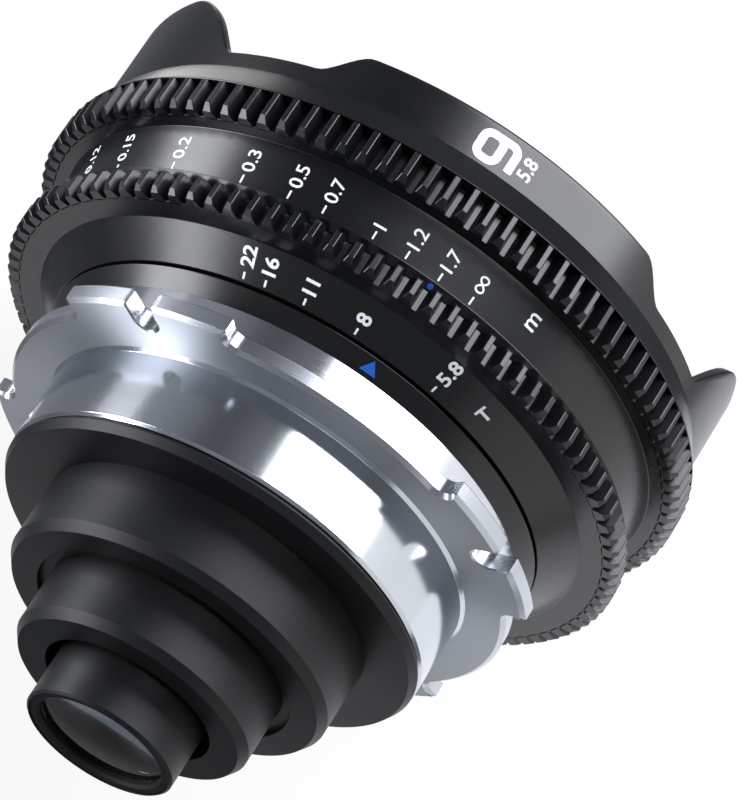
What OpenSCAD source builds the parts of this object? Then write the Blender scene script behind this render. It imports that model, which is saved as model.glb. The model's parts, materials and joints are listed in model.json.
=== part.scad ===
// Wide-angle cinema prime lens with a positive-lock mount, two geared rings and a petal hood.
// Sizes in millimetres. The optical axis is Y: the mount faces +Y, the front glass faces -Y.
// The origin is the centre of the mount's flange face, and the index line is at the top (+Z).
// Every piece is drawn about a local axis z that points to the rear, with x at the index line.
// Radii follow from the mount barrel, the focus scale band, the cam ring and the rear tube by steps and walls.

/* [Mount] */
// Radius of the mount barrel that enters the camera
pl_barrel_r = 27; // [24:0.1:30]
// Length of the mount barrel behind the flange face
pl_barrel_len = 9.7; // [8:0.1:13]
// Wall of the mount barrel
pl_wall = 1.6; // [1.3:0.1:2]
// Chamfer on the barrel's rear rim
pl_rim_chamfer = 0.35; // [0.2:0.05:0.4]
// Depth of the counterbore in the barrel's rear rim
pl_rim_depth = 1.2; // [0.8:0.1:2]
// Wall of the barrel around that counterbore
pl_rim_wall = 0.6; // [0.5:0.05:0.8]
// Slope between the barrel and the flange face
pl_root_chamfer = 0.4; // [0.2:0.05:0.6]
// Width of the flange around the barrel
flange_w = 5.4; // [4.8:0.1:6]
// Height of the four tabs beyond the flange
tab_h = 2.6; // [2.2:0.1:3.2]
// Thickness of the flange
flange_t = 2.3; // [1.8:0.1:3]
// Chamfer on the flange's rear edges
flange_chamfer = 0.5; // [0.2:0.1:0.8]
// Half the angle that a tab covers
tab_half_angle = 19; // [15:0.5:24]
// Radius of the hollow at the foot of each tab
tab_fillet = 1.5; // [0.8:0.1:2]
// Width of the locating notch in each tab
notch_w = 3.3; // [2:0.1:4.5]
// Depth of the notch from the tab's outer edge
notch_depth = 4.3; // [3.6:0.1:4.9]
// Width of the inner flange that carries the mount screws
screw_flange_w = 2.9; // [2.7:0.1:3.4]
// Height of the inner flange behind the flange face
screw_flange_h = 0.7; // [0.5:0.1:1.2]
// Thickness of the back-focus shim
shim_t = 0.2; // [0.1:0.05:0.5]
// How far the shim stays inside the base ring's edge
shim_inset = 0.2; // [0.1:0.1:0.6]
// Length of the silver base ring
base_len = 3.45; // [2.5:0.05:5]
// Wall of the base ring
base_w = 1.4; // [1.3:0.1:2.6]
// Chamfer on the outer edges of the base ring
base_chamfer = 0.1; // [0.05:0.05:0.3]

/* [Mount screws] */
// Number of mount screws
screw_count = 4; // [3:1:6]
// Shank radius of a mount screw
screw_r = 0.8; // [0.6:0.05:0.9]
// Space beside a mount screw's head
screw_head_room = 0.15; // [0.1:0.05:0.3]
// Head height of a mount screw
screw_head_h = 1.3; // [0.8:0.1:1.5]
// Depth of thread in the barrel's end wall
screw_depth = 2.6; // [1.5:0.1:3]

/* [Rear tiers] */
// How far the first tier stands behind the barrel's rim
tier1_proud = 1.6; // [1.4:0.1:3]
// Step from the barrel down to the first tier
tier1_drop = 0.1; // [0.05:0.05:0.4]
// Gap that shows between the barrel's rim and the first tier
tier1_gap = 0.35; // [0.2:0.05:0.4]
// Axial depth of the chamfer on the first tier
tier1_chamfer_z = 1; // [0.4:0.1:1.1]
// Radial depth of the chamfer on the first tier
tier1_chamfer_r = 0.6; // [0.3:0.1:1]
// Length of the second tier behind the first
tier2_len = 9.4; // [6:0.1:12]
// Step from the first tier down to the second
tier2_drop = 6.3; // [5.6:0.1:7]
// Length of the third tier behind the second
tier3_len = 7.95; // [6:0.05:10]
// Step from the second tier down to the third
tier3_drop = 5.6; // [5:0.1:6.2]
// Radial depth of the chamfer on the second and third tiers
tier_chamfer_r = 0.8; // [0.3:0.1:1]
// Axial depth of the chamfer on the second and third tiers
tier_chamfer_z = 1.2; // [0.5:0.1:1.6]
// Thickness of a tier's end wall
tier_wall = 2.2; // [1.8:0.1:2.6]
// Thickness of the third tier's side wall
tier_side = 2; // [1.6:0.1:2.4]
// Length of the flange that holds a tier in the one before it
tier_foot = 2.5; // [2:0.1:3]
// Step between a tier and its flange
tier_foot_step = 2.4; // [2:0.1:2.8]
// Gap around the rear tube where it leaves the third tier
nose_gap = 1.2; // [0.8:0.1:1.5]
// Depth of the recess around the third tier
tier_recess = 0.6; // [0.3:0.1:1]
// Width of that recess
tier_recess_w = 1.4; // [0.8:0.1:2]

/* [Index rings] */
// Length of the aperture index ring
index_len = 2.03; // [1.5:0.01:3]
// Wall of the aperture index ring at its rear
index_rear_w = 1.2; // [0.9:0.1:1.6]
// Wall of the aperture index ring at its front
index_front_w = 2.5; // [2.1:0.1:2.8]
// Groove between the index ring and the aperture ring
index_groove = 0.6; // [0.3:0.1:1]
// Width of the focus index ring along the axis
mark_len = 0.95; // [0.8:0.05:1.5]
// Radius of the focus index ring
mark_r = 39.4; // [36:0.1:43]
// Wall of the focus index ring
mark_wall = 3.4; // [2.8:0.1:3.8]
// Radial depth of the cone on the focus index ring
mark_cone = 0.8; // [0.3:0.1:1]
// Plain edge in front of that cone
mark_edge = 0.1; // [0.05:0.05:0.3]

/* [Aperture ring] */
// Length of the conical aperture scale
ap_scale_len = 3.52; // [3:0.02:5]
// Wall of the aperture ring at its rear
ap_rear_w = 2.7; // [2.4:0.1:3]
// Rise of the conical scale up to the gear
ap_cone_rise = 3.55; // [3:0.05:4]
// Height of the gear's pitch circle above the scale, before whole teeth
ap_gear_rise = 3.95; // [3.4:0.05:4.4]
// Width of the aperture gear
ap_gear_w = 2.9; // [2.2:0.1:5]
// Turn of the aperture ring from the drawn setting to full aperture
ap_open_turn = 12.5; // [5:0.5:20]
// Turn of the aperture ring from the drawn setting to the smallest aperture
ap_close_turn = 31.4; // [20:0.1:40]

/* [Focus ring] */
// Length of the focus scale band
fo_band_len = 6.5; // [6:0.1:9]
// Radius of the focus scale band at its front edge
fo_band_r = 38.8; // [36:0.1:41]
// Wall of the focus ring under its scale
fo_band_wall = 2.4; // [2:0.1:3]
// How much slimmer the band is at its rear edge
fo_band_taper = 0.6; // [0:0.1:1]
// Height of the gear's pitch circle above the scale, before whole teeth
fo_gear_rise = 2.8; // [2.4:0.1:3.6]
// Width of the focus gear
fo_gear_w = 4; // [3:0.1:7]
// Turn of the focus ring from the drawn setting to infinity
fo_far_turn = 7; // [3:0.5:15]
// Turn of the focus ring from the drawn setting to the nearest distance
fo_near_turn = 76; // [50:1:85]
// Travel of the optical block for one turn of the focus ring
fo_lead = 3.5; // [2:0.1:5]

/* [Gear teeth] */
// Module of both gears
gear_module = 0.8; // [0.6:0.1:1]
// Pressure angle of both gears
gear_angle = 20; // [14.5:0.5:25]
// Chamfer at the rear end of the aperture gear's teeth
ap_rear_chamfer = 0.6; // [0.2:0.05:1]
// Chamfer at the front end of the aperture gear's teeth
ap_front_chamfer = 0.35; // [0.1:0.05:0.6]
// Chamfer at the rear end of the focus gear's teeth
fo_rear_chamfer = 0.75; // [0.2:0.05:1]
// Chamfer at the front end of the focus gear's teeth
fo_front_chamfer = 0.1; // [0.05:0.05:0.6]
// Turn of the aperture gear's first tooth from the index line
ap_tooth_phase = -1.6; // [-3:0.1:3]
// Turn of the focus gear's first tooth from the index line
fo_tooth_phase = 2.2; // [-3:0.1:3]

/* [Main barrel] */
// Step from the mount barrel up to the surface that the aperture ring turns on
core_step = 2.4; // [2:0.1:2.8]
// Wall of the main barrel under the aperture ring
core_wall = 1.8; // [1.2:0.1:2.5]
// Wall of the drum around the front cell
drum_wall = 2.8; // [2.4:0.1:3.2]
// Thickness of the barrel's rear end wall
core_end_wall = 3.4; // [3.2:0.1:4.5]
// How far the end wall reaches inside the mount's inner flange
core_end_lip = 0.5; // [0:0.1:1]
// Length of the spigot that carries the hood
spigot_len = 2.45; // [1.8:0.05:3]
// Step from the drum down to the spigot
spigot_drop = 0.8; // [0.5:0.1:1.2]

/* [Hood] */
// Step from the focus gear's tips down to the hood's shoulder
hood_step = 0.1; // [0.05:0.05:0.6]
// Length of the cone between shoulder and petals
hood_cone_len = 3.75; // [3.2:0.05:5]
// Drop of that cone
hood_cone_drop = 1.9; // [1.4:0.1:2.4]
// Wall of the petals
petal_wall = 1.5; // [1:0.1:2]
// Length of the plain tube behind the rim
hood_tube_len = 2.2; // [1.7:0.1:4]
// Height of the short petals above the rim
petal_short_h = 3.7; // [2:0.1:5]
// Height of the tall petals above the rim
petal_tall_h = 9.4; // [7:0.1:12]
// Angle from the index line to the flat top's end on a short petal
short_top_angle = 26; // [22:0.5:30]
// Angle from the index line to the foot of a short petal
short_foot_angle = 38; // [34:0.5:42]
// Angle from the index line to the foot of a tall petal
tall_foot_angle = 53; // [48:0.5:58]
// Angle from the index line to the flat top's end on a tall petal
tall_top_angle = 72; // [68:0.5:78]
// How far behind the low rim the hood's inside starts to narrow
hood_funnel_gap = 0.5; // [0.3:0.1:1]
// Thickness of the lip that seats on the main barrel
hood_lip = 0.8; // [0.5:0.1:1.2]

/* [Front cell] */
// Wall of the front cell
cell_wall = 1.5; // [1.2:0.1:2]
// Thickness of the front cell's floor
cell_floor = 4.05; // [3.6:0.05:5]
// Room for the front retaining ring ahead of the front element
cell_rim = 3; // [2.6:0.1:3.4]
// Wall of the nose that holds the second element
cell_nose_wall = 2.2; // [1.8:0.1:2.4]
// Length of that nose ahead of the floor
cell_nose_len = 3.25; // [2.8:0.05:3.6]
// Lip behind the second element
cell_lip = 1; // [0.8:0.1:1.4]
// How far that lip stays outside the third element
cell_lip_gap = 0.4; // [0.3:0.1:0.6]

/* [Front elements] */
// Edge thickness of the front element
e1_edge = 5.6; // [5:0.1:6.5]
// Radius of curvature of the front element's front
e1_front_r = 55; // [48:1:70]
// Gap between the front cell's nose and the front element's hollow
e1_hollow_gap = 2.8; // [2.4:0.1:3.2]
// How much the radius of the front element's hollow exceeds its clear radius
e1_hollow_more = 3; // [2.6:0.1:4]
// Width of the front retaining ring
e1_ring_w = 2.2; // [1.6:0.1:2.6]
// Step from the circle of cell screws in to the second element
e2_step = 1.4; // [1.2:0.1:1.6]
// Edge thickness of the second element
e2_edge = 5.2; // [4.6:0.1:5.6]
// Radius of curvature of the second element's front
e2_front_r = 36; // [30:1:44]
// Width of the flat land at the second element's rear
e2_land = 5.5; // [4.8:0.1:6.2]
// How much the radius of the second element's hollow exceeds its clear radius
e2_hollow_more = 1; // [0.8:0.1:2]
// Width of the second retaining ring
e2_ring_w = 1.5; // [1:0.1:2]
// Length of the second retaining ring
e2_ring_len = 1; // [0.6:0.1:1.05]
// Step from the cam ring down to the third element
e3_step = 0.2; // [0.1:0.05:0.6]
// Edge thickness of the third element
e3_edge = 4.1; // [3.6:0.1:4.6]
// Radius of curvature of the third element's front
e3_front_r = 24; // [20:1:30]
// Width of the flat land at the third element's rear
e3_land = 3; // [2.6:0.1:3.4]
// How much the radius of the third element's hollow exceeds its clear radius
e3_hollow_more = 1; // [0.8:0.1:2]
// Width of the third retaining ring
e3_ring_w = 1.2; // [0.8:0.1:1.6]
// Length of the third retaining ring
e3_ring_len = 1.3; // [1:0.1:1.6]

/* [Inner barrel] */
// Wall of the inner barrel around the iris
inner_wall = 3.75; // [3.2:0.05:4.4]
// Width of the flange beyond the circle of cell screws
inner_flange_w = 2.1; // [1.8:0.1:2.6]
// Thickness of that flange
inner_flange_t = 1.5; // [1.2:0.1:2]
// Wall of the inner barrel around the rear tube
inner_rear_wall = 3.1; // [2:0.1:3.5]
// Lip between the third element and the iris
inner_lip = 0.5; // [0.4:0.1:0.8]
// Lip behind the iris bay
iris_lip = 0.7; // [0.5:0.1:1]
// Width of that lip around the light path
iris_lip_w = 0.8; // [0.6:0.1:1.2]
// Length of the socket that holds the rear tube
tube_socket = 4; // [3:0.1:6]
// Number of screws between inner barrel and front cell
cell_screw_count = 3; // [3:1:6]
// Distance from the inner barrel's wall to the circle of cell screws
cell_screw_inset = 2.4; // [2:0.05:2.8]
// Shank radius of a cell screw
cell_screw_r = 0.6; // [0.4:0.05:0.7]
// Head radius of a cell screw
cell_screw_head_r = 1.1; // [0.9:0.05:1.2]
// Head height of a cell screw
cell_screw_head_h = 0.7; // [0.5:0.1:0.8]
// Depth of thread of a cell screw
cell_screw_depth = 2.4; // [1.5:0.1:3]

/* [Rear elements] */
// Step from the rear tube down to the two doublets ahead of it
mid_step = 1.4; // [1:0.1:1.8]
// Edge thickness of each of them
mid_edge = 3; // [2.4:0.1:4]
// Radius of curvature of their steep faces
mid_steep_r = 20; // [16:1:30]
// Radius of curvature of their flat faces
mid_flat_r = 34; // [26:1:50]
// Air between them on the axis
mid_air = 1.15; // [0.8:0.05:2]
// Wall of the spacers and small retaining rings
spacer_wall = 0.9; // [0.6:0.1:1.2]
// Length of the small retaining rings
small_ring_len = 1.5; // [1:0.1:2]
// Free length between the middle retaining ring and the rear tube
socket_room = 1; // [0.5:0.1:2]
// Outer radius of the rear tube
tube_r = 9.4; // [8.4:0.1:10.4]
// Wall of the rear tube
tube_wall = 0.75; // [0.6:0.05:1]
// How far the rear tube stands behind the third tier
tube_proud = 6.35; // [4:0.05:9]
// Chamfer on the rear tube's rim
tube_chamfer = 0.25; // [0.1:0.05:0.35]
// Wall of the tube at the rear retaining ring
tube_rim_wall = 0.42; // [0.36:0.01:0.5]
// How deep the rear retaining ring lies
rear_ring_drop = 0.15; // [0.05:0.05:0.5]
// Width of the rear retaining ring
rear_ring_w = 0.95; // [0.7:0.05:1.2]
// Edge thickness of the rear element
rear_edge = 3.8; // [3:0.1:5]
// Radius of curvature of the rear element's rear
rear_face_r = 40; // [30:1:80]
// Edge thickness of the rear doublet
rear_doublet_edge = 4; // [3:0.1:5]
// Air between rear doublet and rear element on the axis
rear_air = 0.5; // [0.3:0.1:1.2]
// Lip in the tube ahead of the rear doublet
tube_lip = 0.8; // [0.5:0.1:1.5]

/* [Iris] */
// Outer radius of the cam ring
cam_out_r = 11.2; // [10.4:0.1:12]
// Thickness of the cam ring
cam_t = 0.8; // [0.6:0.1:0.9]
// Gap between the cam ring and the lip ahead of it
cam_gap = 0.15; // [0.1:0.05:0.2]
// Distance from the cam ring's edge in to the circle of blade drive pins with the iris open
drive_inset = 2.3; // [2.1:0.1:2.6]
// Step from that circle in to the circle of blade posts
post_step = 0.9; // [0.8:0.05:1]
// Width of the cam ring inside the circle of blade posts
cam_inner_w = 1.4; // [1.3:0.05:1.6]
// Thickness of a blade
blade_t = 0.12; // [0.08:0.01:0.15]
// Step from one blade level to the next
blade_step = 0.3; // [0.25:0.01:0.35]
// Gap between the iris plate and the first blade
blade_gap = 0.25; // [0.15:0.05:0.3]
// Gap between the last blade and the cam ring
blade_clear = 0.28; // [0.2:0.01:0.4]
// Step from the circle of blade posts in to an open blade's outer edge
blade_inset = 1; // [0.9:0.05:1.2]
// Width of an open blade
blade_w = 2.8; // [2.4:0.1:3.2]
// Angle that a blade covers from its post
blade_sweep = 92; // [80:1:100]
// Radius of a blade post
post_r = 0.5; // [0.4:0.05:0.55]
// Angle from a blade's post to its drive pin
drive_angle = 18; // [15:0.5:20]
// Radius of a blade's drive pin
drive_r = 0.4; // [0.3:0.05:0.45]
// Width of the blade's rim around its drive pin
drive_rim = 0.2; // [0.1:0.05:0.3]
// Angle of the blade's eye beyond its post
eye_angle = 9; // [8:0.5:10]
// Angle of the blade's ear beyond its drive pin
ear_angle = 6; // [5:0.5:7]
// Turn of a blade for each degree of the aperture ring
blade_ratio = 0.5; // [0.4:0.05:0.55]
// Angle of the first blade's post
first_post_angle = 43.5; // [40:0.5:46]
// Thickness of the iris plate
plate_t = 0.8; // [0.6:0.1:0.9]
// How far the iris plate's opening clears an open blade's inner edge
plate_more = 0.4; // [0.2:0.1:0.8]

/* [Drive pins] */
// Radius of the pin that links the aperture ring to the cam ring
link_r = 0.7; // [0.5:0.05:0.8]
// Depth of the link pin in the aperture ring
link_depth = 1.6; // [1:0.1:2]
// Depth of the link pin in the cam ring's fork
link_bite = 1.2; // [1:0.05:1.3]
// Depth of the relief beyond the link pin's end
link_relief = 0.2; // [0.1:0.05:0.4]
// Radius of a focus cam pin
cam_pin_r = 1.2; // [0.9:0.05:1.3]
// Depth of a focus cam pin in the front cell
cam_pin_depth = 3; // [2:0.1:4]
// Height of a focus cam pin in the focus ring's groove
cam_pin_bite = 1; // [0.6:0.1:1.2]
// Distance of the cam pins from the front cell's rear face
cam_pin_inset = 2; // [1.8:0.1:2.4]

/* [Fits] */
// Radial clearance of the turning and sliding parts
running_fit = 0.05; // [0.03:0.01:0.08]
// Radial clearance of the seated parts
seat_fit = 0.03; // [0.02:0.01:0.05]
// Axial gap between a turning ring and its neighbour
ring_gap = 0.12; // [0.08:0.01:0.3]
// Gap that shows between the focus index ring and the focus ring
mark_gap = 0.35; // [0.15:0.05:0.6]
// Free space around and behind the front cell
slide_room = 0.6; // [0.3:0.1:1]
// Clearance between retaining rings and glass
glass_fit = 0.12; // [0.08:0.01:0.2]

/* [Hidden] */

$fn = 96;
spill = 1;
black = "#26262a";
deep_black = "#1a1a1c";
silver = "#c9cdd3";
steel = "#8d9096";
brass = "#b08d4a";
glass = "#5a6a78";

// The four tabs lie between the quarters
first_tab = 45;
tab_spacing = 90;
last_tab = 315;
foot_step = 0.05;

// Fixed counts and the link pin's place opposite the index line
blade_count = 5;
cam_pin_count = 3;
link_angle = 180;

// Radii of the mount and of the tiers behind it
pl_bore_r = pl_barrel_r - pl_wall;
pl_rim_r = pl_barrel_r - pl_rim_wall;
flange_recess_r = pl_barrel_r + flange_w;
flange_r = flange_recess_r + tab_h;
notch_floor_r = flange_r - notch_depth;
screw_flange_r = pl_bore_r - screw_flange_w;
screw_circle_r = (screw_flange_r + pl_bore_r) / 2;
screw_head_r = screw_flange_w / 2 - screw_head_room;
tier1_r = pl_barrel_r - tier1_drop;
tier2_r = tier1_r - tier2_drop;
tier3_r = tier2_r - tier3_drop;
nose_hole_r = tube_r + nose_gap;

// Radii of the main barrel and of the rings on it
core_r = pl_barrel_r + core_step;
core_bore_r = core_r - core_wall;
core_hole_r = screw_flange_r - core_end_lip;
base_r = core_r + base_w;
shim_r = base_r - shim_inset;
index_rear_r = core_r + index_rear_w;
index_front_r = core_r + index_front_w;
ap_rear_r = core_r + ap_rear_w;
ap_step_r = ap_rear_r + ap_cone_rise;
mark_seat_r = mark_r - mark_wall;
drum_r = fo_band_r - fo_band_wall;
drum_bore_r = drum_r - drum_wall;
spigot_r = drum_r - spigot_drop;

// Gear circles with whole numbers of teeth
ap_teeth = round(2 * (ap_step_r + ap_gear_rise) / gear_module);
fo_teeth = round(2 * (fo_band_r + fo_gear_rise) / gear_module);
ap_pitch_r = gear_module * ap_teeth / 2;
fo_pitch_r = gear_module * fo_teeth / 2;
dedendum = 1.25 * gear_module;
hood_shoulder_r = fo_pitch_r + gear_module - hood_step;
hood_r = hood_shoulder_r - hood_cone_drop;

// Radii of the iris, and of the cells and lenses around it
bay_r = cam_out_r + running_fit;
drive_circle_r = cam_out_r - drive_inset;
post_circle_r = drive_circle_r - post_step;
cam_in_r = post_circle_r - cam_inner_w;
blade_out_r = post_circle_r - blade_inset;
blade_in_r = blade_out_r - blade_w;
plate_open_r = blade_in_r + plate_more;
link_end_r = cam_out_r - link_bite;
inner_r = bay_r + inner_wall;
cell_screw_circle_r = inner_r + cell_screw_inset;
inner_flange_r = cell_screw_circle_r + inner_flange_w;
e3_r = cam_out_r - e3_step;
e3_hollow_r = e3_r - e3_land;
e3_rear_r = e3_hollow_r + e3_hollow_more;
e2_r = cell_screw_circle_r - e2_step;
e2_hollow_r = e2_r - e2_land;
e2_rear_r = e2_hollow_r + e2_hollow_more;
cell_lip_r = e3_r + cell_lip_gap;
cell_nose_r = e2_r + cell_nose_wall;
cell_r = drum_bore_r - running_fit;
e1_r = cell_r - cell_wall - seat_fit;
e1_hollow_r = cell_nose_r + e1_hollow_gap;
e1_rear_r = e1_hollow_r + e1_hollow_more;

// Radii of the rear tube and of the lenses in and ahead of it
inner_rear_r = tube_r + inner_rear_wall;
mid_r = tube_r - mid_step;
iris_lip_r = mid_r - iris_lip_w;
tube_bore_r = tube_r - tube_wall;
tube_lip_r = tube_bore_r - tube_wall;
tube_rim_bore_r = tube_r - tube_rim_wall;
rear_glass_r = tube_bore_r - seat_fit;
rear_ring_r = tube_rim_bore_r - seat_fit;
rear_ring_open_r = rear_ring_r - rear_ring_w;

// Stations along the axis, rear positive, from the flange face forwards
z_shim = -flange_t;
z_base = z_shim - shim_t;
z_index = z_base - base_len;
z_index_front = z_index - index_len;
z_ap_rear = z_index_front - index_groove;
z_ap_gear = z_ap_rear - ap_scale_len;
z_ap_front = z_ap_gear - ap_gear_w;
z_mark = z_ap_front - ring_gap;
z_mark_front = z_mark - mark_len;
z_fo_rear = z_mark_front - mark_gap;
z_fo_gear = z_fo_rear - fo_band_len;
z_fo_front = z_fo_gear - fo_gear_w;
z_hood = z_fo_front - ring_gap;
z_hood_tube = z_hood - hood_cone_len;
z_spigot = z_hood - spigot_len;
z_rim = z_hood_tube - hood_tube_len;
z_rim_short = z_rim - petal_short_h;
z_rim_tall = z_rim - petal_tall_h;

// Stations behind the flange face
z_tier1 = pl_barrel_len + tier1_proud;
z_tier2 = z_tier1 + tier2_len;
z_tier3 = z_tier2 + tier3_len;
z_tube = z_tier3 + tube_proud;
z_rim_floor = pl_barrel_len - pl_rim_depth;

// Stations of the optical block
blade_stack = blade_t + (blade_count - 1) * blade_step;
z_cell = z_fo_rear - slide_room;
z_floor = z_cell - cell_floor;
z_cell_front = z_floor - e1_edge - cell_rim;
z_e2_seat = z_cell - cell_lip;
z_nose = z_floor - cell_nose_len;
z_e3_seat = z_cell + e3_ring_len + e3_edge;
z_bay = z_e3_seat + inner_lip;
z_bay_rear = z_bay + cam_gap + cam_t + blade_clear + blade_stack + blade_gap + plate_t;
z_mid = z_bay_rear + iris_lip + edge_rise(mid_flat_r, mid_r, iris_lip_r) + glass_fit;
z_mid_spacer = z_mid + mid_edge;
z_mid2 = z_mid_spacer + 2 * sag(mid_steep_r, mid_r) + mid_air;
z_mid_ring = z_mid2 + mid_edge;
z_socket = z_mid_ring + small_ring_len + socket_room;
z_inner_end = z_socket + tube_socket;
z_rear_ring = z_tube - rear_ring_drop - small_ring_len;
z_rear = z_rear_ring - glass_fit - edge_rise(rear_face_r, rear_glass_r, rear_ring_open_r);
z_rear_front = z_rear - rear_edge;
z_rear_spacer = z_rear_front - 2 * sag(mid_flat_r, rear_glass_r) - rear_air;
z_rear_doublet = z_rear_spacer - rear_doublet_edge;
z_tube_lip = z_rear_doublet - glass_fit - edge_rise(mid_flat_r, rear_glass_r, tube_lip_r);

// Iris stations: the plate at the rear, blades ahead of it, the cam ring at the front
z_plate = z_bay_rear - plate_t;
z_cam = z_bay + cam_gap;
z_link = z_cam + cam_t / 2;
blade_close_now = ap_open_turn * blade_ratio;
post_spacing = 360 / blade_count;

// Focus travel from the drawn setting
far_travel = fo_lead * fo_far_turn / 360;
near_travel = fo_lead * fo_near_turn / 360;
z_cam_pin = z_cell - cam_pin_inset;
groove_room = 0.05;
groove_end = 3;
slot_steps = 12;
blade_facet = 4;
tail_facet = 20;
cam_pin_spacing = 360 / cam_pin_count;

// Height of a sphere's cap out to radius a, and the part of it between the radii b and a
function sag(sphere_r, a) = sphere_r - sqrt(sphere_r ^ 2 - a ^ 2);
function edge_rise(sphere_r, a, b) = sag(sphere_r, a) - sag(sphere_r, b);

// Point at a radius and an angle from the index line
function polar(r, angle) = [r * cos(angle), r * sin(angle)];

// Share from 0 to 1 with a soft start and end
function soft_step(t) = let(u = min(1, max(0, t))) u * u * (3 - 2 * u);

// Involute of an angle, and half the angle of a tooth at a radius
function involute(angle) = tan(angle) * 180 / PI - angle;
function half_tooth(r, pitch_r, teeth) = 90 / teeth + involute(gear_angle)
  - involute(acos(pitch_r * cos(gear_angle) / r));

// Height of the hood's rim at an angle from the index line, up to a quarter turn
short_fade = short_foot_angle - short_top_angle;
tall_fade = tall_top_angle - tall_foot_angle;
tall_skew = 0.65;
rim_step = 2;
function rim_z(angle) = z_rim
  - petal_short_h * soft_step((short_foot_angle - angle) / short_fade)
  - petal_tall_h * soft_step(max(0, (angle - tall_foot_angle) / tall_fade) ^ tall_skew);

// Drive pin of the first blade, in the cam ring's frame, at a turn of the aperture ring
function drive_offset() = polar(drive_circle_r, drive_angle) - [post_circle_r, 0];
function spin(p, angle) = [p.x * cos(angle) - p.y * sin(angle), p.x * sin(angle) + p.y * cos(angle)];
function drive_point(turn) = [post_circle_r, 0]
  + spin(drive_offset(), (ap_open_turn - turn) * blade_ratio);
function slot_angle(turn) = atan2(drive_point(turn).y, drive_point(turn).x) - turn;
function slot_r(turn) = norm(drive_point(turn));

// Axis of the lens: local z to the rear, local x at the index line
module on_axis() {
  rotate([-90, 0, 0]) rotate([0, 0, -90]) children();
}

// Solid turned about the axis from a profile of radius and station
module turned(profile) {
  rotate_extrude() polygon(profile);
}

// Plain ring between two radii and two stations
module ring(r_in, r_out, z_low, z_high) {
  turned([[r_in, z_low], [r_out, z_low], [r_out, z_high], [r_in, z_high]]);
}

// Part of a ring that starts at an angle
module ring_sector(r_in, r_out, z_low, z_high, start, sweep) {
  rotate([0, 0, start])
    rotate_extrude(angle = sweep)
      polygon([[r_in, z_low], [r_out, z_low], [r_out, z_high], [r_in, z_high]]);
}

// Rod between two stations at a radius and an angle
module rod(r, z_low, z_high, circle_r, angle) {
  rotate([0, 0, angle]) translate([circle_r, 0, z_low]) cylinder(r = r, h = z_high - z_low);
}

// Rod that points away from the axis
module spoke(r, r_from, r_to, z, angle) {
  rotate([0, 0, angle]) translate([r_from, 0, z]) rotate([0, 90, 0]) cylinder(r = r, h = r_to - r_from);
}

// Screw with a flat head that has a slot, pointing forwards
module screw(shank_r, head_r, head_h, z_seat, depth, circle_r, angle) {
  difference() {
    union() {
      rod(shank_r, z_seat - depth, z_seat + head_h / 2, circle_r, angle);
      rod(head_r, z_seat, z_seat + head_h, circle_r, angle);
    }
    rotate([0, 0, angle])
      translate([circle_r, 0, z_seat + head_h])
        cube([2 * head_r + spill, head_r / 3, head_h], center = true);
  }
}

// Lens with a convex front and a hollow rear that has a flat land outside it
module meniscus(r, z_seat, edge, front_r, rear_r, hollow_r) {
  difference() {
    intersection() {
      translate([0, 0, z_seat - edge - sag(front_r, r) - spill])
        cylinder(r = r, h = edge + sag(front_r, r) + spill);
      translate([0, 0, z_seat - edge + sqrt(front_r ^ 2 - r ^ 2)]) sphere(r = front_r);
    }
    translate([0, 0, z_seat + sqrt(rear_r ^ 2 - hollow_r ^ 2)]) sphere(r = rear_r);
  }
}

// Lens with two convex faces
module biconvex(r, z_edge, edge, front_r, rear_r) {
  intersection() {
    translate([0, 0, z_edge - sag(front_r, r) - spill])
      cylinder(r = r, h = edge + sag(front_r, r) + sag(rear_r, r) + 2 * spill);
    translate([0, 0, z_edge + sqrt(front_r ^ 2 - r ^ 2)]) sphere(r = front_r);
    translate([0, 0, z_edge + edge - sqrt(rear_r ^ 2 - r ^ 2)]) sphere(r = rear_r);
  }
}

// Retaining ring whose rear face follows a convex lens front
module glass_ring(r_out, width, z_edge, front_r, lens_r, z_front) {
  r_in = r_out - width;
  rise = edge_rise(front_r, lens_r, r_in);
  turned([[r_out, z_edge - glass_fit], [r_out, z_front], [r_in, z_front - rise],
    [r_in, z_edge - rise - glass_fit]]);
}

// Spacer between two convex lens faces, with ends that follow them
module lens_spacer(r_out, width, z_low, z_high, low_r, high_r) {
  r_in = r_out - width;
  turned([[r_out, z_low + glass_fit], [r_out, z_high - glass_fit],
    [r_in, z_high - glass_fit - edge_rise(high_r, r_out, r_in)],
    [r_in, z_low + glass_fit + edge_rise(low_r, r_out, r_in)]]);
}

// Outline of a spur gear
module gear_outline(teeth, pitch_r, phase) {
  tip_r = pitch_r + gear_module;
  root_r = pitch_r - dedendum;
  flank = [root_r, (root_r + tip_r) / 2, tip_r];
  polygon([for (i = [0:teeth - 1], side = [-1, 1], j = [0:2])
    let(r = flank[side < 0 ? j : 2 - j])
    polar(r, phase + i * 360 / teeth + side * half_tooth(r, pitch_r, teeth))]);
}

// Band of gear teeth with chamfered ends
module gear_band(teeth, pitch_r, phase, r_in, z_low, z_high, front, rear) {
  top_r = pitch_r + gear_module;
  over = spill / 2;
  intersection() {
    translate([0, 0, z_low])
      linear_extrude(height = z_high - z_low)
        gear_outline(teeth, pitch_r, phase);
    turned([[r_in, z_low - over], [top_r - front - over, z_low - over], [top_r + over, z_low + front + over],
      [top_r + over, z_high - rear - over], [top_r - rear - over, z_high + over], [r_in, z_high + over]]);
  }
}

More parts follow.
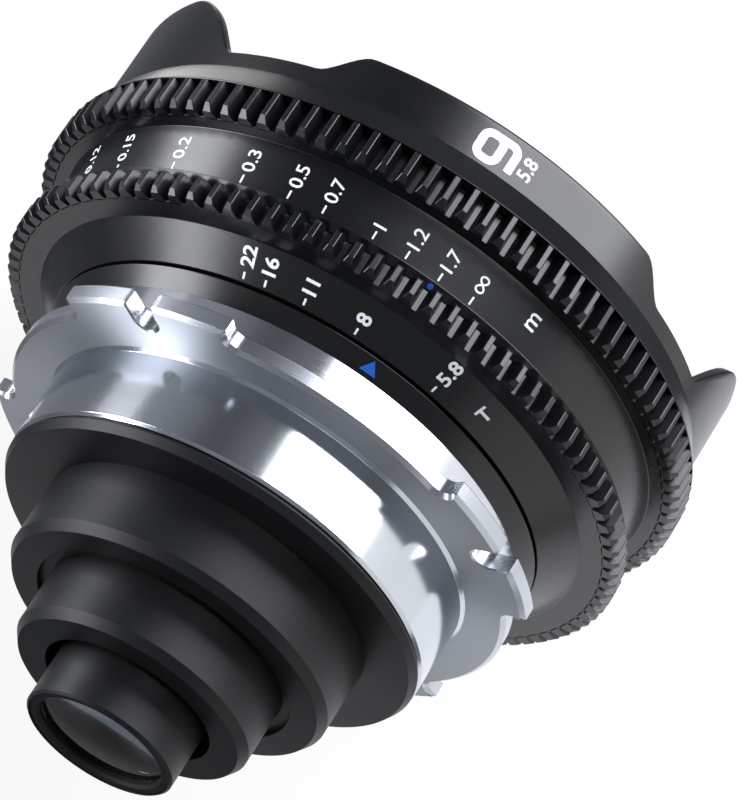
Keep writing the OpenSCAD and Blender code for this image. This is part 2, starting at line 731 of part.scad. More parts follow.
// Mount barrel and flange with four notched tabs
module pl_mount() {
  color(silver) on_axis() difference() {
    union() {
      turned([[screw_flange_r, z_shim], [flange_recess_r, z_shim],
        [flange_recess_r, -flange_chamfer], [flange_recess_r - flange_chamfer, 0],
        [pl_barrel_r + pl_root_chamfer, 0], [pl_barrel_r, pl_root_chamfer],
        [pl_barrel_r, pl_barrel_len - pl_rim_chamfer], [pl_barrel_r - pl_rim_chamfer, pl_barrel_len],
        [pl_rim_r, pl_barrel_len], [pl_rim_r, z_rim_floor], [pl_bore_r, z_rim_floor],
        [pl_bore_r, screw_flange_h], [screw_flange_r, screw_flange_h]]);
      for (a = [first_tab:tab_spacing:last_tab]) {
        mount_tab(a);
        tab_foot(a + tab_half_angle);
        mirror([0, 1, 0]) tab_foot(tab_half_angle - a);
      }
    }
    for (a = [first_tab:tab_spacing:last_tab]) mount_notch(a);
    mount_screw_holes(screw_r + seat_fit);
  }
}

// One bayonet tab of the flange
module mount_tab(angle) {
  rotate([0, 0, angle - tab_half_angle])
    rotate_extrude(angle = 2 * tab_half_angle)
      polygon([[flange_recess_r - spill, z_shim], [flange_r, z_shim], [flange_r, -flange_chamfer],
        [flange_r - flange_chamfer, 0], [flange_recess_r - spill, 0]]);
}

// Hollow foot between a tab's side and the recess beside it
module tab_foot(angle) {
  centre_r = flange_recess_r + tab_fillet + foot_step;
  sweep = asin((tab_fillet - foot_step) / centre_r);
  difference() {
    ring_sector(flange_recess_r - spill, centre_r, z_shim, 0, angle - 1, sweep + 1);
    rotate([0, 0, angle + sweep])
      translate([centre_r, 0, z_shim - spill]) cylinder(r = tab_fillet, h = flange_t + 2 * spill);
  }
}

// Locating notch in a tab, with a round floor
module mount_notch(angle) {
  half = notch_w / 2;
  floor_centre = notch_floor_r + half;
  rotate([0, 0, angle]) translate([floor_centre, 0, 0]) {
    translate([0, 0, z_shim - spill]) cylinder(r = half, h = flange_t + 2 * spill);
    translate([0, -half, z_shim - spill]) cube([flange_r, notch_w, flange_t + 2 * spill]);
  }
}

// Holes for the mount screws
module mount_screw_holes(r) {
  for (i = [0:screw_count - 1])
    rod(r, z_base - screw_depth - seat_fit, screw_flange_h + spill, screw_circle_r, i * 360 / screw_count);
}

// Thin shim that sets the back focus
module mount_shim() {
  color(brass) on_axis() difference() {
    ring(screw_flange_r, shim_r, z_base, z_shim);
    mount_screw_holes(screw_r + seat_fit);
  }
}

// Straight silver ring between flange and index ring
module mount_base_ring() {
  edge_r = base_r - base_chamfer;
  color(silver) on_axis()
    turned([[core_r + seat_fit, z_index], [edge_r, z_index], [base_r, z_index + base_chamfer],
      [base_r, z_base - base_chamfer], [edge_r, z_base], [core_r + seat_fit, z_base]]);
}

// Screws that hold the mount to the main barrel
module mount_screws() {
  color(steel) on_axis() for (i = [0:screw_count - 1])
    screw(screw_r, screw_head_r, screw_head_h, screw_flange_h,
      screw_flange_h + flange_t + shim_t + screw_depth, screw_circle_r, i * 360 / screw_count);
}

// Fixed black ring that carries the aperture index
module aperture_index_ring() {
  color(black) on_axis()
    turned([[core_r + seat_fit, z_index_front], [index_front_r, z_index_front], [index_rear_r, z_index],
      [core_r + seat_fit, z_index]]);
}

// Fixed barrel that everything is built on
module main_barrel() {
  slot_half = cam_pin_r + running_fit;
  color(deep_black) on_axis() difference() {
    turned([[drum_bore_r, z_spigot], [spigot_r, z_spigot], [spigot_r, z_hood], [drum_r, z_hood],
      [drum_r, z_mark_front], [mark_seat_r, z_mark_front], [mark_seat_r, z_mark], [core_r, z_mark],
      [core_r, z_base], [core_hole_r, z_base],
      [core_hole_r, z_base - core_end_wall], [core_bore_r, z_base - core_end_wall],
      [core_bore_r, z_fo_rear], [drum_bore_r, z_fo_rear]]);
    for (i = [0:cam_pin_count - 1]) rotate([0, 0, i * cam_pin_spacing])
      translate([drum_bore_r - spill, -slot_half, z_cam_pin - near_travel - slot_half])
        cube([drum_r - drum_bore_r + 2 * spill, 2 * slot_half, near_travel + far_travel + 2 * slot_half]);
    link_window(core_bore_r - spill, core_r + spill, 0);
    mount_screw_holes(screw_r + seat_fit);
  }
}

// Curved window that the link pin sweeps through, lengthened rearwards by the focus travel
module link_window(r_in, r_out, travel) {
  reach = asin((link_r + running_fit) / r_in) + 1;
  half = link_r + running_fit;
  ring_sector(r_in, r_out, z_link - half - (travel > 0 ? far_travel : 0), z_link + half + travel,
    link_angle - ap_close_turn - reach, ap_close_turn + ap_open_turn + 2 * reach);
}

// Thin fixed ring with the focus index, between the two turning rings
module focus_index_ring() {
  color(black) on_axis()
    turned([[mark_seat_r + seat_fit, z_mark_front], [mark_r, z_mark_front],
      [mark_r, z_mark_front + mark_edge], [mark_r - mark_cone, z_mark], [mark_seat_r + seat_fit, z_mark]]);
}

// Front barrel and petal hood in one piece
module hood() {
  lip_r = cell_r + slide_room;
  inner_r = hood_r - petal_wall;
  funnel_z = z_spigot - hood_lip;
  color(black) on_axis() difference() {
    turned([[spigot_r + seat_fit, z_hood], [hood_shoulder_r, z_hood], [hood_r, z_hood_tube],
      [hood_r, z_rim_tall], [inner_r, z_rim_tall], [inner_r, z_rim + hood_funnel_gap], [lip_r, funnel_z],
      [lip_r, z_spigot], [spigot_r + seat_fit, z_spigot]]);
    for (half_turn = [0, 180]) rotate([0, 0, half_turn]) {
      rim_gap();
      mirror([0, 1, 0]) rim_gap();
      ring_sector(inner_r - spill, hood_r + spill, z_rim_tall - spill, z_rim_short,
        -short_top_angle - rim_step / 2, 2 * short_top_angle + rim_step);
    }
  }
}

// Cut between a short and a tall petal, drawn in the plane that faces its middle
module rim_gap() {
  middle = (short_foot_angle + tall_foot_angle) / 2;
  low_end = short_top_angle - rim_step;
  high_end = tall_top_angle + rim_step;
  far_z = z_rim_tall - spill;
  cross = spill / 2;
  rotate([0, 0, middle]) rotate([90, 0, 90])
    linear_extrude(height = hood_r + spill)
      polygon(concat(
        [[hood_r * sin(low_end - middle), z_rim_short - cross]],
        [for (a = [short_top_angle + rim_step:rim_step:tall_top_angle - rim_step])
          [hood_r * sin(a - middle), rim_z(a)]],
        [[hood_r * sin(high_end - middle), z_rim_tall - cross], [hood_r * sin(high_end - middle), far_z],
          [hood_r * sin(low_end - middle), far_z]]));
}

// First tier: cap on the mount barrel's rim
module rear_base_ring() {
  neck_r = pl_bore_r - seat_fit;
  hole_r = tier2_r + seat_fit;
  foot_r = tier2_r + tier_foot_step + seat_fit;
  foot_z = z_tier1 - tier_wall - tier1_proud;
  neck_z = screw_flange_h + screw_head_h + glass_fit;
  color(black) on_axis()
    turned([[foot_r, neck_z], [neck_r, neck_z], [neck_r, z_rim_floor], [pl_rim_r - seat_fit, z_rim_floor],
      [pl_rim_r - seat_fit, pl_barrel_len + tier1_gap], [tier1_r, pl_barrel_len + tier1_gap],
      [tier1_r, z_tier1 - tier1_chamfer_z], [tier1_r - tier1_chamfer_r, z_tier1], [hole_r, z_tier1],
      [hole_r, foot_z], [foot_r, foot_z]]);
}

// Second tier: sleeve that comes out of the first
module rear_sleeve() {
  foot_z = z_tier1 - tier_wall - tier1_proud;
  bore_r = tier3_r + tier_foot_step + seat_fit;
  hole_r = tier3_r + seat_fit;
  color(black) on_axis()
    turned([[bore_r, foot_z - tier_foot], [tier2_r + tier_foot_step, foot_z - tier_foot],
      [tier2_r + tier_foot_step, foot_z], [tier2_r, foot_z], [tier2_r, z_tier2 - tier_chamfer_z],
      [tier2_r - tier_chamfer_r, z_tier2], [hole_r + tier_recess_w, z_tier2],
      [hole_r + tier_recess_w, z_tier2 - tier_recess], [hole_r, z_tier2 - tier_recess],
      [hole_r, z_tier2 - tier_wall], [bore_r, z_tier2 - tier_wall]]);
}

// Third tier: nose that the rear tube passes through
module rear_nose() {
  foot_z = z_tier2 - tier_wall;
  bore_r = tier3_r - tier_side;
  color(black) on_axis()
    turned([[bore_r, foot_z - tier_foot], [tier3_r + tier_foot_step, foot_z - tier_foot],
      [tier3_r + tier_foot_step, foot_z], [tier3_r, foot_z], [tier3_r, z_tier3 - tier_chamfer_z],
      [tier3_r - tier_chamfer_r, z_tier3], [nose_hole_r, z_tier3], [nose_hole_r, z_tier3 - tier_wall],
      [bore_r, z_tier3 - tier_wall]]);
}

// Turning ring with the aperture scale and its gear
module aperture_ring() {
  bore_r = core_r + running_fit;
  root_r = ap_pitch_r - dedendum;
  color(black) on_axis() difference() {
    union() {
      turned([[bore_r, z_ap_front], [root_r - spill, z_ap_front], [root_r - spill, z_ap_gear],
        [ap_step_r, z_ap_gear], [ap_rear_r, z_ap_rear], [bore_r, z_ap_rear]]);
      gear_band(ap_teeth, ap_pitch_r, ap_tooth_phase, bore_r + spill, z_ap_front, z_ap_gear,
        ap_front_chamfer, ap_rear_chamfer);
    }
    spoke(link_r + seat_fit, bore_r - spill, bore_r + link_depth, z_link, link_angle);
  }
}

// Pin that turns the cam ring with the aperture ring
module aperture_link_pin() {
  color(steel) on_axis()
    spoke(link_r, link_end_r, core_r + running_fit + link_depth, z_link, link_angle);
}

// Turning ring with the focus scale and its gear
module focus_ring() {
  bore_r = drum_r + running_fit;
  root_r = fo_pitch_r - dedendum;
  color(black) on_axis() difference() {
    union() {
      turned([[bore_r, z_fo_front], [root_r - spill, z_fo_front], [root_r - spill, z_fo_gear],
        [fo_band_r, z_fo_gear], [fo_band_r - fo_band_taper, z_fo_rear], [bore_r, z_fo_rear]]);
      gear_band(fo_teeth, fo_pitch_r, fo_tooth_phase, bore_r + spill, z_fo_front, z_fo_gear,
        fo_front_chamfer, fo_rear_chamfer);
    }
    for (i = [0:cam_pin_count - 1]) rotate([0, 0, i * cam_pin_spacing]) cam_groove(bore_r);
  }
}

// Groove for one cam pin: part of a ring that leans by the lead
module cam_groove(bore_r) {
  half = cam_pin_r + running_fit + groove_room;
  middle = (fo_near_turn - fo_far_turn) / 2;
  reach = (fo_near_turn + fo_far_turn) / 2 + groove_end;
  lean = atan(fo_lead / (2 * PI * bore_r));
  rotate([0, 0, middle]) translate([0, 0, z_cam_pin - fo_lead * middle / 360]) rotate([-lean, 0, 0])
    ring_sector(bore_r - spill, bore_r + cam_pin_bite + running_fit, -half, half, -reach, 2 * reach);
}

// Cup that carries the front element and slides in the main barrel
module front_cell() {
  e1_bore = e1_r + seat_fit;
  e2_bore = e2_r + seat_fit;
  color(deep_black) on_axis() difference() {
    turned([[e1_bore, z_cell_front], [cell_r, z_cell_front], [cell_r, z_cell],
      [cell_lip_r, z_cell], [cell_lip_r, z_e2_seat], [e2_bore, z_e2_seat],
      [e2_bore, z_nose], [cell_nose_r, z_nose], [cell_nose_r, z_floor], [e1_bore, z_floor]]);
    for (i = [0:cam_pin_count - 1])
      spoke(cam_pin_r + seat_fit, cell_r - cam_pin_depth, cell_r + spill, z_cam_pin, i * cam_pin_spacing);
    cell_screw_holes();
  }
}

// Threaded holes for the cell screws
module cell_screw_holes() {
  for (i = [0:cell_screw_count - 1])
    rod(cell_screw_r + seat_fit, z_cell - cell_screw_depth - seat_fit, z_cell + inner_flange_t + spill,
      cell_screw_circle_r, (i + 0.5) * 360 / cell_screw_count);
}

// Large bulging front element
module front_element() {
  color(glass, 0.5) on_axis() meniscus(e1_r, z_floor, e1_edge, e1_front_r, e1_rear_r, e1_hollow_r);
}

// Threaded ring that holds the front element
module front_retaining_ring() {
  color(deep_black) on_axis()
    glass_ring(e1_r, e1_ring_w, z_floor - e1_edge, e1_front_r, e1_r, z_cell_front + glass_fit);
}

// Second element, in the front cell's nose
module second_element() {
  color(glass, 0.5) on_axis() meniscus(e2_r, z_e2_seat, e2_edge, e2_front_r, e2_rear_r, e2_hollow_r);
}

// Threaded ring that holds the second element
module second_retaining_ring() {
  color(deep_black) on_axis()
    glass_ring(e2_r, e2_ring_w, z_e2_seat - e2_edge, e2_front_r, e2_r, z_e2_seat - e2_edge - e2_ring_len);
}

// Third element, at the front of the inner barrel
module third_element() {
  color(glass, 0.5) on_axis() meniscus(e3_r, z_e3_seat, e3_edge, e3_front_r, e3_rear_r, e3_hollow_r);
}

// Threaded ring that holds the third element
module third_retaining_ring() {
  color(deep_black) on_axis()
    glass_ring(e3_r, e3_ring_w, z_e3_seat - e3_edge, e3_front_r, e3_r, z_cell + glass_fit);
}

// Tube that carries the iris and the inner lenses
module inner_barrel() {
  e3_bore = e3_r + seat_fit;
  mid_bore = mid_r + seat_fit;
  socket_r = tube_r + seat_fit;
  color(deep_black) on_axis() difference() {
    turned([[e3_bore, z_cell], [inner_flange_r, z_cell], [inner_flange_r, z_cell + inner_flange_t],
      [inner_r, z_cell + inner_flange_t], [inner_r, z_mid_spacer], [inner_rear_r, z_mid_spacer],
      [inner_rear_r, z_inner_end], [socket_r, z_inner_end], [socket_r, z_socket], [mid_bore, z_socket],
      [mid_bore, z_bay_rear + iris_lip], [iris_lip_r, z_bay_rear + iris_lip],
      [iris_lip_r, z_bay_rear], [bay_r, z_bay_rear],
      [bay_r, z_bay], [e3_hollow_r + spacer_wall, z_bay], [e3_hollow_r + spacer_wall, z_e3_seat],
      [e3_bore, z_e3_seat]]);
    link_window(link_end_r - link_relief, inner_r + spill, near_travel);
    cell_screw_holes();
  }
}

// Screws that hold the inner barrel to the front cell
module cell_screws() {
  color(steel) on_axis() for (i = [0:cell_screw_count - 1])
    screw(cell_screw_r, cell_screw_head_r, cell_screw_head_h, z_cell + inner_flange_t,
      inner_flange_t + cell_screw_depth, cell_screw_circle_r, (i + 0.5) * 360 / cell_screw_count);
}

// Pins that follow the focus ring's helical grooves
module focus_cam_pins() {
  color(brass) on_axis() for (i = [0:cam_pin_count - 1])
    spoke(cam_pin_r, cell_r - cam_pin_depth, drum_r + running_fit + cam_pin_bite, z_cam_pin,
      i * cam_pin_spacing);
}

// Plate with the posts that the blades turn on
module iris_plate() {
  color(steel) on_axis() {
    ring(plate_open_r, bay_r - seat_fit, z_plate, z_bay_rear);
    for (i = [0:blade_count - 1])
      rod(post_r, blade_z(i) - blade_gap / 2, z_plate + plate_t / 2, post_circle_r,
        first_post_angle + i * post_spacing);
  }
}

// Front face of a blade's level
function blade_z(level) = z_plate - blade_gap - blade_t - level * blade_step;

// Ring with spiral slots that swings the blades
module iris_cam_ring() {
  color(brass) on_axis() difference() {
    ring(cam_in_r, cam_out_r, z_cam, z_cam + cam_t);
    for (i = [0:blade_count - 1]) rotate([0, 0, first_post_angle + i * post_spacing]) cam_slot();
    rotate([0, 0, link_angle])
      translate([link_end_r - 2 * running_fit, -link_r - running_fit, z_cam - spill])
        cube([cam_out_r, 2 * (link_r + running_fit), cam_t + 2 * spill]);
  }
}

// Spiral slot of one blade's drive pin
module cam_slot() {
  half = drive_r + 2 * running_fit;
  overrun = (half + running_fit) / drive_circle_r * 180 / PI;
  turns = [for (i = [0:slot_steps]) ap_open_turn - i * (ap_open_turn + ap_close_turn) / slot_steps];
  first = turns[0];
  last = turns[slot_steps];
  inner = concat([polar(slot_r(first) - half, slot_angle(first) - overrun)],
    [for (t = turns) polar(slot_r(t) - half, slot_angle(t))],
    [polar(slot_r(last) - half, slot_angle(last) + overrun)]);
  outer = concat([polar(slot_r(last) + half, slot_angle(last) + overrun)],
    [for (i = [slot_steps:-1:0]) polar(slot_r(turns[i]) + half, slot_angle(turns[i]))],
    [polar(slot_r(first) + half, slot_angle(first) - overrun)]);
  translate([0, 0, z_cam - spill])
    linear_extrude(height = cam_t + 2 * spill)
      polygon(concat(inner, outer));
}

// Outline of a blade with the iris open, its post on the x axis
module blade_outline() {
  ear_end = drive_angle + ear_angle;
  ear_r = drive_circle_r + drive_r + drive_rim;
  tail_r = (blade_in_r + blade_out_r) / 2;
  tail_half = (blade_out_r - blade_in_r) / 2;
  tail = polar(tail_r, blade_sweep);
  polygon(concat(
    [for (a = [-eye_angle:blade_facet:ear_end]) polar(ear_r, a)],
    [polar(ear_r, ear_end)],
    [for (a = [ear_end:blade_facet:blade_sweep]) polar(blade_out_r, a)],
    [for (a = [tail_facet / 2:tail_facet:180]) tail + tail_half * polar(1, blade_sweep + a)],
    [for (a = [blade_sweep:-blade_facet:-eye_angle]) polar(blade_in_r, a)]));
}

// One iris blade with its eye and drive pin, at the drawn aperture
module iris_blade(level) {
  z = blade_z(level);
  color(deep_black) on_axis()
    rotate([0, 0, first_post_angle + level * post_spacing])
      translate([post_circle_r, 0, 0]) rotate([0, 0, blade_close_now]) translate([-post_circle_r, 0, 0])
        difference() {
          union() {
            translate([0, 0, z]) linear_extrude(height = blade_t) blade_outline();
            rod(drive_r, z_cam + cam_t / 4, z + blade_t / 2, drive_circle_r, drive_angle);
          }
          rod(post_r + running_fit, z - spill / 4, z + blade_t + spill / 4, post_circle_r, 0);
        }
}

module iris_blade_1() { iris_blade(0); }
module iris_blade_2() { iris_blade(1); }
module iris_blade_3() { iris_blade(2); }
module iris_blade_4() { iris_blade(3); }
module iris_blade_5() { iris_blade(4); }

// Cemented pair just behind the iris
module stop_doublet() {
  color(glass, 0.5) on_axis() biconvex(mid_r, z_mid, mid_edge, mid_flat_r, mid_steep_r);
}

// Tube that keeps the two middle pairs apart
module doublet_spacer() {
  color(deep_black) on_axis()
    lens_spacer(mid_r, spacer_wall, z_mid_spacer, z_mid2, mid_steep_r, mid_steep_r);
}

// Second cemented pair
module middle_doublet() {
  color(glass, 0.5) on_axis() biconvex(mid_r, z_mid2, mid_edge, mid_steep_r, mid_flat_r);
}

// Threaded ring behind the second pair
module middle_retaining_ring() {
  r_in = mid_r - spacer_wall;
  z_end = z_mid_ring + small_ring_len;
  color(deep_black) on_axis()
    turned([[mid_r, z_mid_ring + glass_fit], [mid_r, z_end], [r_in, z_end],
      [r_in, z_mid_ring + glass_fit + edge_rise(mid_flat_r, mid_r, r_in)]]);
}

// Tube that stands out of the rear and moves with the glass
module rear_tube() {
  color(black) on_axis()
    turned([[tube_bore_r, z_socket], [tube_r, z_socket], [tube_r, z_tube - tube_chamfer],
      [tube_r - tube_chamfer, z_tube], [tube_rim_bore_r, z_tube], [tube_rim_bore_r, z_rear_ring],
      [tube_bore_r, z_rear_ring], [tube_bore_r, z_tube_lip], [tube_lip_r, z_tube_lip],
      [tube_lip_r, z_tube_lip - tube_lip], [tube_bore_r, z_tube_lip - tube_lip]]);
}

// Cemented pair near the rear
module rear_doublet() {
  color(glass, 0.5) on_axis()
    biconvex(rear_glass_r, z_rear_doublet, rear_doublet_edge, mid_flat_r, mid_flat_r);
}

// Spacer between the rear pair and the rear element
module rear_spacer() {
  color(deep_black) on_axis()
    lens_spacer(rear_glass_r, spacer_wall, z_rear_spacer, z_rear_front, mid_flat_r, mid_flat_r);
}

// Last element, behind the retaining ring's opening
module rear_element() {
  color(glass, 0.5) on_axis()
    biconvex(rear_glass_r, z_rear_front, rear_edge, mid_flat_r, rear_face_r);
}

// Black ring that holds the rear element
module rear_retaining_ring() {
  color(deep_black) on_axis()
    ring(rear_ring_open_r, rear_ring_r, z_rear_ring, z_rear_ring + small_ring_len);
}

pl_mount();
mount_shim();
mount_base_ring();
mount_screws();
aperture_index_ring();
main_barrel();
focus_index_ring();
hood();
rear_base_ring();
rear_sleeve();
rear_nose();
aperture_ring();
aperture_link_pin();
focus_ring();
front_cell();
front_element();
front_retaining_ring();
second_element();
second_retaining_ring();
third_element();
third_retaining_ring();
inner_barrel();
cell_screws();
focus_cam_pins();
iris_plate();
iris_cam_ring();
iris_blade_1();
iris_blade_2();
iris_blade_3();
iris_blade_4();
iris_blade_5();
stop_doublet();
doublet_spacer();
middle_doublet();
middle_retaining_ring();
rear_tube();
rear_doublet();
rear_spacer();
rear_element();
rear_retaining_ring();
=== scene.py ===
"""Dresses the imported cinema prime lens: turned metal, gear teeth, petal hood, scales, glass and studio."""

from __future__ import annotations

import json
import logging
import math
from dataclasses import dataclass, field
from enum import Enum, IntEnum
from typing import Any, Callable, Sequence

import bmesh
import bpy
from mathutils import Matrix, Vector

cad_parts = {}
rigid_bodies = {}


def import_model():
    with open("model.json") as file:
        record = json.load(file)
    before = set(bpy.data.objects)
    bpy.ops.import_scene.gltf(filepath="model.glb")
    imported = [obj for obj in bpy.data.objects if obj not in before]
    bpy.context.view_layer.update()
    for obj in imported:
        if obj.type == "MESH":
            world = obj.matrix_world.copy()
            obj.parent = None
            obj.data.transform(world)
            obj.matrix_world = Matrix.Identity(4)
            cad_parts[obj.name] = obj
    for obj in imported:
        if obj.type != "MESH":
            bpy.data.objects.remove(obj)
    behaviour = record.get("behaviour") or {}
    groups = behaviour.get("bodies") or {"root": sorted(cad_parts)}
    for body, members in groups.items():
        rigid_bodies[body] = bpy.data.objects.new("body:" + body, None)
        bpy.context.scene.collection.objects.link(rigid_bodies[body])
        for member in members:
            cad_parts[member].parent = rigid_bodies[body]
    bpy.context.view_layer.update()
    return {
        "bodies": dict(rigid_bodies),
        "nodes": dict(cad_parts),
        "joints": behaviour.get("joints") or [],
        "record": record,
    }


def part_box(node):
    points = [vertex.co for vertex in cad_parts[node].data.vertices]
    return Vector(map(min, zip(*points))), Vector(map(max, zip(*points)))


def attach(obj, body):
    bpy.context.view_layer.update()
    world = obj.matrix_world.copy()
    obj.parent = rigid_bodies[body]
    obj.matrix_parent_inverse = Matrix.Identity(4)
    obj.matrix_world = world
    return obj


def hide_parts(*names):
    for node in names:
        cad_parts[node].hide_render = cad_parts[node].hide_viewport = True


log = logging.getLogger("lens")

MM = 0.001
TURN_STEPS = 256  # facets round a turned piece
BENDS = 3  # steps of a rounded corner
GUARD = 0.03  # distance in mm of the points beside a rounded corner, which keep the flats' normals
CRISP, FINE, SOFT, ROUND, FULL = 0.05, 0.06, 0.08, 0.1, 0.12  # roundings of turned edges in mm
CREASE = math.radians(35)  # sharper edges stay crisp
POLE = 1e-9  # radius in mm below which a profile meets the axis
WHITE = "#ffffff"

Point = tuple[float, float]  # radius and station in mm
Corner = tuple[float, ...]  # radius, station and, where the corner is rounded, its radius in mm
Edge = tuple[Vector, float]  # point across the axis and its chamfer in mm
Triple = tuple[float, float, float]
Socket = bpy.types.NodeSocket
Tree = bpy.types.NodeTree
Object = bpy.types.Object
Mesh = bpy.types.Mesh
Form = bmesh.types.BMesh
Vert = bmesh.types.BMVert


class Body(str, Enum):
    """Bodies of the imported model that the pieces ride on."""

    FIXED = "lens_body"
    APERTURE = "aperture_body"
    FOCUS = "focus_body"
    OPTICS = "optical_block"


class Slot(str, Enum):
    """Material slots of the record."""

    MOUNT = "mount_steel"
    BASE = "base_ring_metal"
    SHIM = "shim_brass"
    SCREW = "screw_steel"
    BLACK = "anodised_black"
    INNER = "blackened_inner"
    CAM = "cam_brass"
    BLADE = "blade_steel"
    GLASS = "coated_glass"


class Side(IntEnum):
    """Finishes of the mount by their place in its mesh."""

    FACE = 0
    BARREL = 1
    WALL = 2


def linear(code: str) -> tuple[float, float, float, float]:
    """Turns an sRGB hex colour into linear light.

    Args:
        code: colour as "#rrggbb".

    Returns:
        Red, green, blue and alpha for a socket.
    """
    parts = [int(code[i : i + 2], 16) / 255 for i in (1, 3, 5)]
    light = [p / 12.92 if p <= 0.04045 else ((p + 0.055) / 1.055) ** 2.4 for p in parts]
    return (light[0], light[1], light[2], 1.0)


def add_node(
    tree: Tree,
    kind: str,
    links: dict[str | int, Socket] | None = None,
    values: dict[str | int, Any] | None = None,
    **settings: Any,
) -> bpy.types.Node:
    """Adds a node with its settings, socket values and links.

    Args:
        tree: node tree that gets the node.
        kind: Blender's name of the node type.
        links: output sockets by the input they go into.
        values: constants by input.
        settings: properties of the node itself.

    Returns:
        The new node.
    """
    node = tree.nodes.new(kind)
    for key, value in settings.items():
        setattr(node, key, value)
    for key, value in (values or {}).items():
        node.inputs[key].default_value = value
    for key, source in (links or {}).items():
        tree.links.new(source, node.inputs[key])
    return node


def reckon(tree: Tree, operation: str, *terms: Socket | float) -> Socket:
    """Adds a calculation with sockets and plain numbers.

    Args:
        tree: node tree that gets the node.
        operation: Blender's name of the operation.
        terms: its inputs in order.

    Returns:
        The socket of the result.
    """
    links = {i: term for i, term in enumerate(terms) if isinstance(term, Socket)}
    values = {i: term for i, term in enumerate(terms) if not isinstance(term, Socket)}
    return add_node(tree, "ShaderNodeMath", links, values, operation=operation).outputs["Value"]


def clock(r: float, y: float, angle: float) -> Vector:
    """Point on a circle about the optical axis.

    Args:
        r: radius in millimetres.
        y: station along the axis in millimetres, rear positive.
        angle: degrees from the index line towards +X.

    Returns:
        The point in metres.
    """
    a = math.radians(angle)
    return Vector((r * math.sin(a), y, r * math.cos(a))) * MM


def cone(first: Point, second: Point) -> Callable[[float], float]:
    """Radius by station on the cone through two points of a profile."""
    (r0, y0), (r1, y1) = first, second
    return lambda y: r0 + (r1 - r0) * (y - y0) / (y1 - y0)


def link(thing: Object) -> Object:
    """Puts an object into the scene."""
    bpy.context.scene.collection.objects.link(thing)
    return thing


@dataclass
class Skin:
    """Nodes of one material while it is made."""

    tree: Tree
    shader: bpy.types.Node
    spot: Socket

    def noise(self, size: float, detail: float = 2.0, spot: Socket | None = None) -> Socket:
        """Adds soft noise.

        Args:
            size: size of its spots in millimetres.
            detail: finer layers on top.
            spot: coordinates, where they aren't the piece's own.

        Returns:
            The noise from 0 to 1.
        """
        place = self.spot if spot is None else spot
        values = {"Scale": 1 / (size * MM), "Detail": detail}
        return add_node(self.tree, "ShaderNodeTexNoise", {"Vector": place}, values).outputs["Fac"]

    def gloss(self, pattern: Socket, low: float, high: float) -> None:
        """Lets the roughness follow a pattern between two levels."""
        span = add_node(self.tree, "ShaderNodeMapRange", {"Value": pattern}, {"To Min": low, "To Max": high})
        self.tree.links.new(span.outputs["Result"], self.shader.inputs["Roughness"])

    def relief(self, pattern: Socket, strength: float, depth: float) -> None:
        """Lets the surface rise and fall with a pattern over a depth in millimetres."""
        bump = add_node(
            self.tree, "ShaderNodeBump", {"Height": pattern}, {"Strength": strength, "Distance": depth * MM}
        )
        self.tree.links.new(bump.outputs["Normal"], self.shader.inputs["Normal"])

    def give(self, values: dict[str, Any]) -> None:
        """Sets plain values of the shader."""
        for name, value in values.items():
            self.shader.inputs[name].default_value = value


@dataclass(frozen=True)
class Finish:
    """A finish of the lens, made once as a material."""

    name: str
    colour: str
    roughness: float

    def make(self) -> bpy.types.Material:
        """Material of this finish, built on first use."""
        known = bpy.data.materials.get(self.name)
        return known if known else self.build()

    def build(self) -> bpy.types.Material:
        """Builds the material.

        Returns:
            The new material.
        """
        material = bpy.data.materials.new(self.name)
        material.use_nodes = True
        tree = material.node_tree
        tree.nodes.clear()
        values = {"Base Color": linear(self.colour), "Roughness": self.roughness}
        shader = add_node(tree, "ShaderNodeBsdfPrincipled", None, values)
        add_node(tree, "ShaderNodeOutputMaterial", {"Surface": shader.outputs["BSDF"]})
        self.dress(Skin(tree, shader, add_node(tree, "ShaderNodeTexCoord").outputs["Object"]))
        return material

    def dress(self, skin: Skin) -> None:
        """Adds what the eye sees beyond colour and gloss."""


@dataclass(frozen=True)
class BlastedAnodise(Finish):
    """Bead-blasted aluminium, anodised black: a satin skin that spreads highlights into soft grey."""

    grain: float = 0.16
    relief: float = 0.25
    drift: float = 0.05
    ior: float = 1.5
    pit: float = 0.03
    detail: float = 3.0
    cloud: float = 9.0

    def dress(self, skin: Skin) -> None:
        """Adds the blasted grain and a slow drift in gloss.

        The grit leaves pits of about 0.05 mm, drawn three times coarser so that they show in the render.

        Args:
            skin: nodes of the material.
        """
        skin.relief(skin.noise(self.grain, self.detail), self.relief, self.pit)
        skin.gloss(skin.noise(self.cloud), self.roughness - self.drift, self.roughness + self.drift)
        skin.give({"IOR": self.ior})


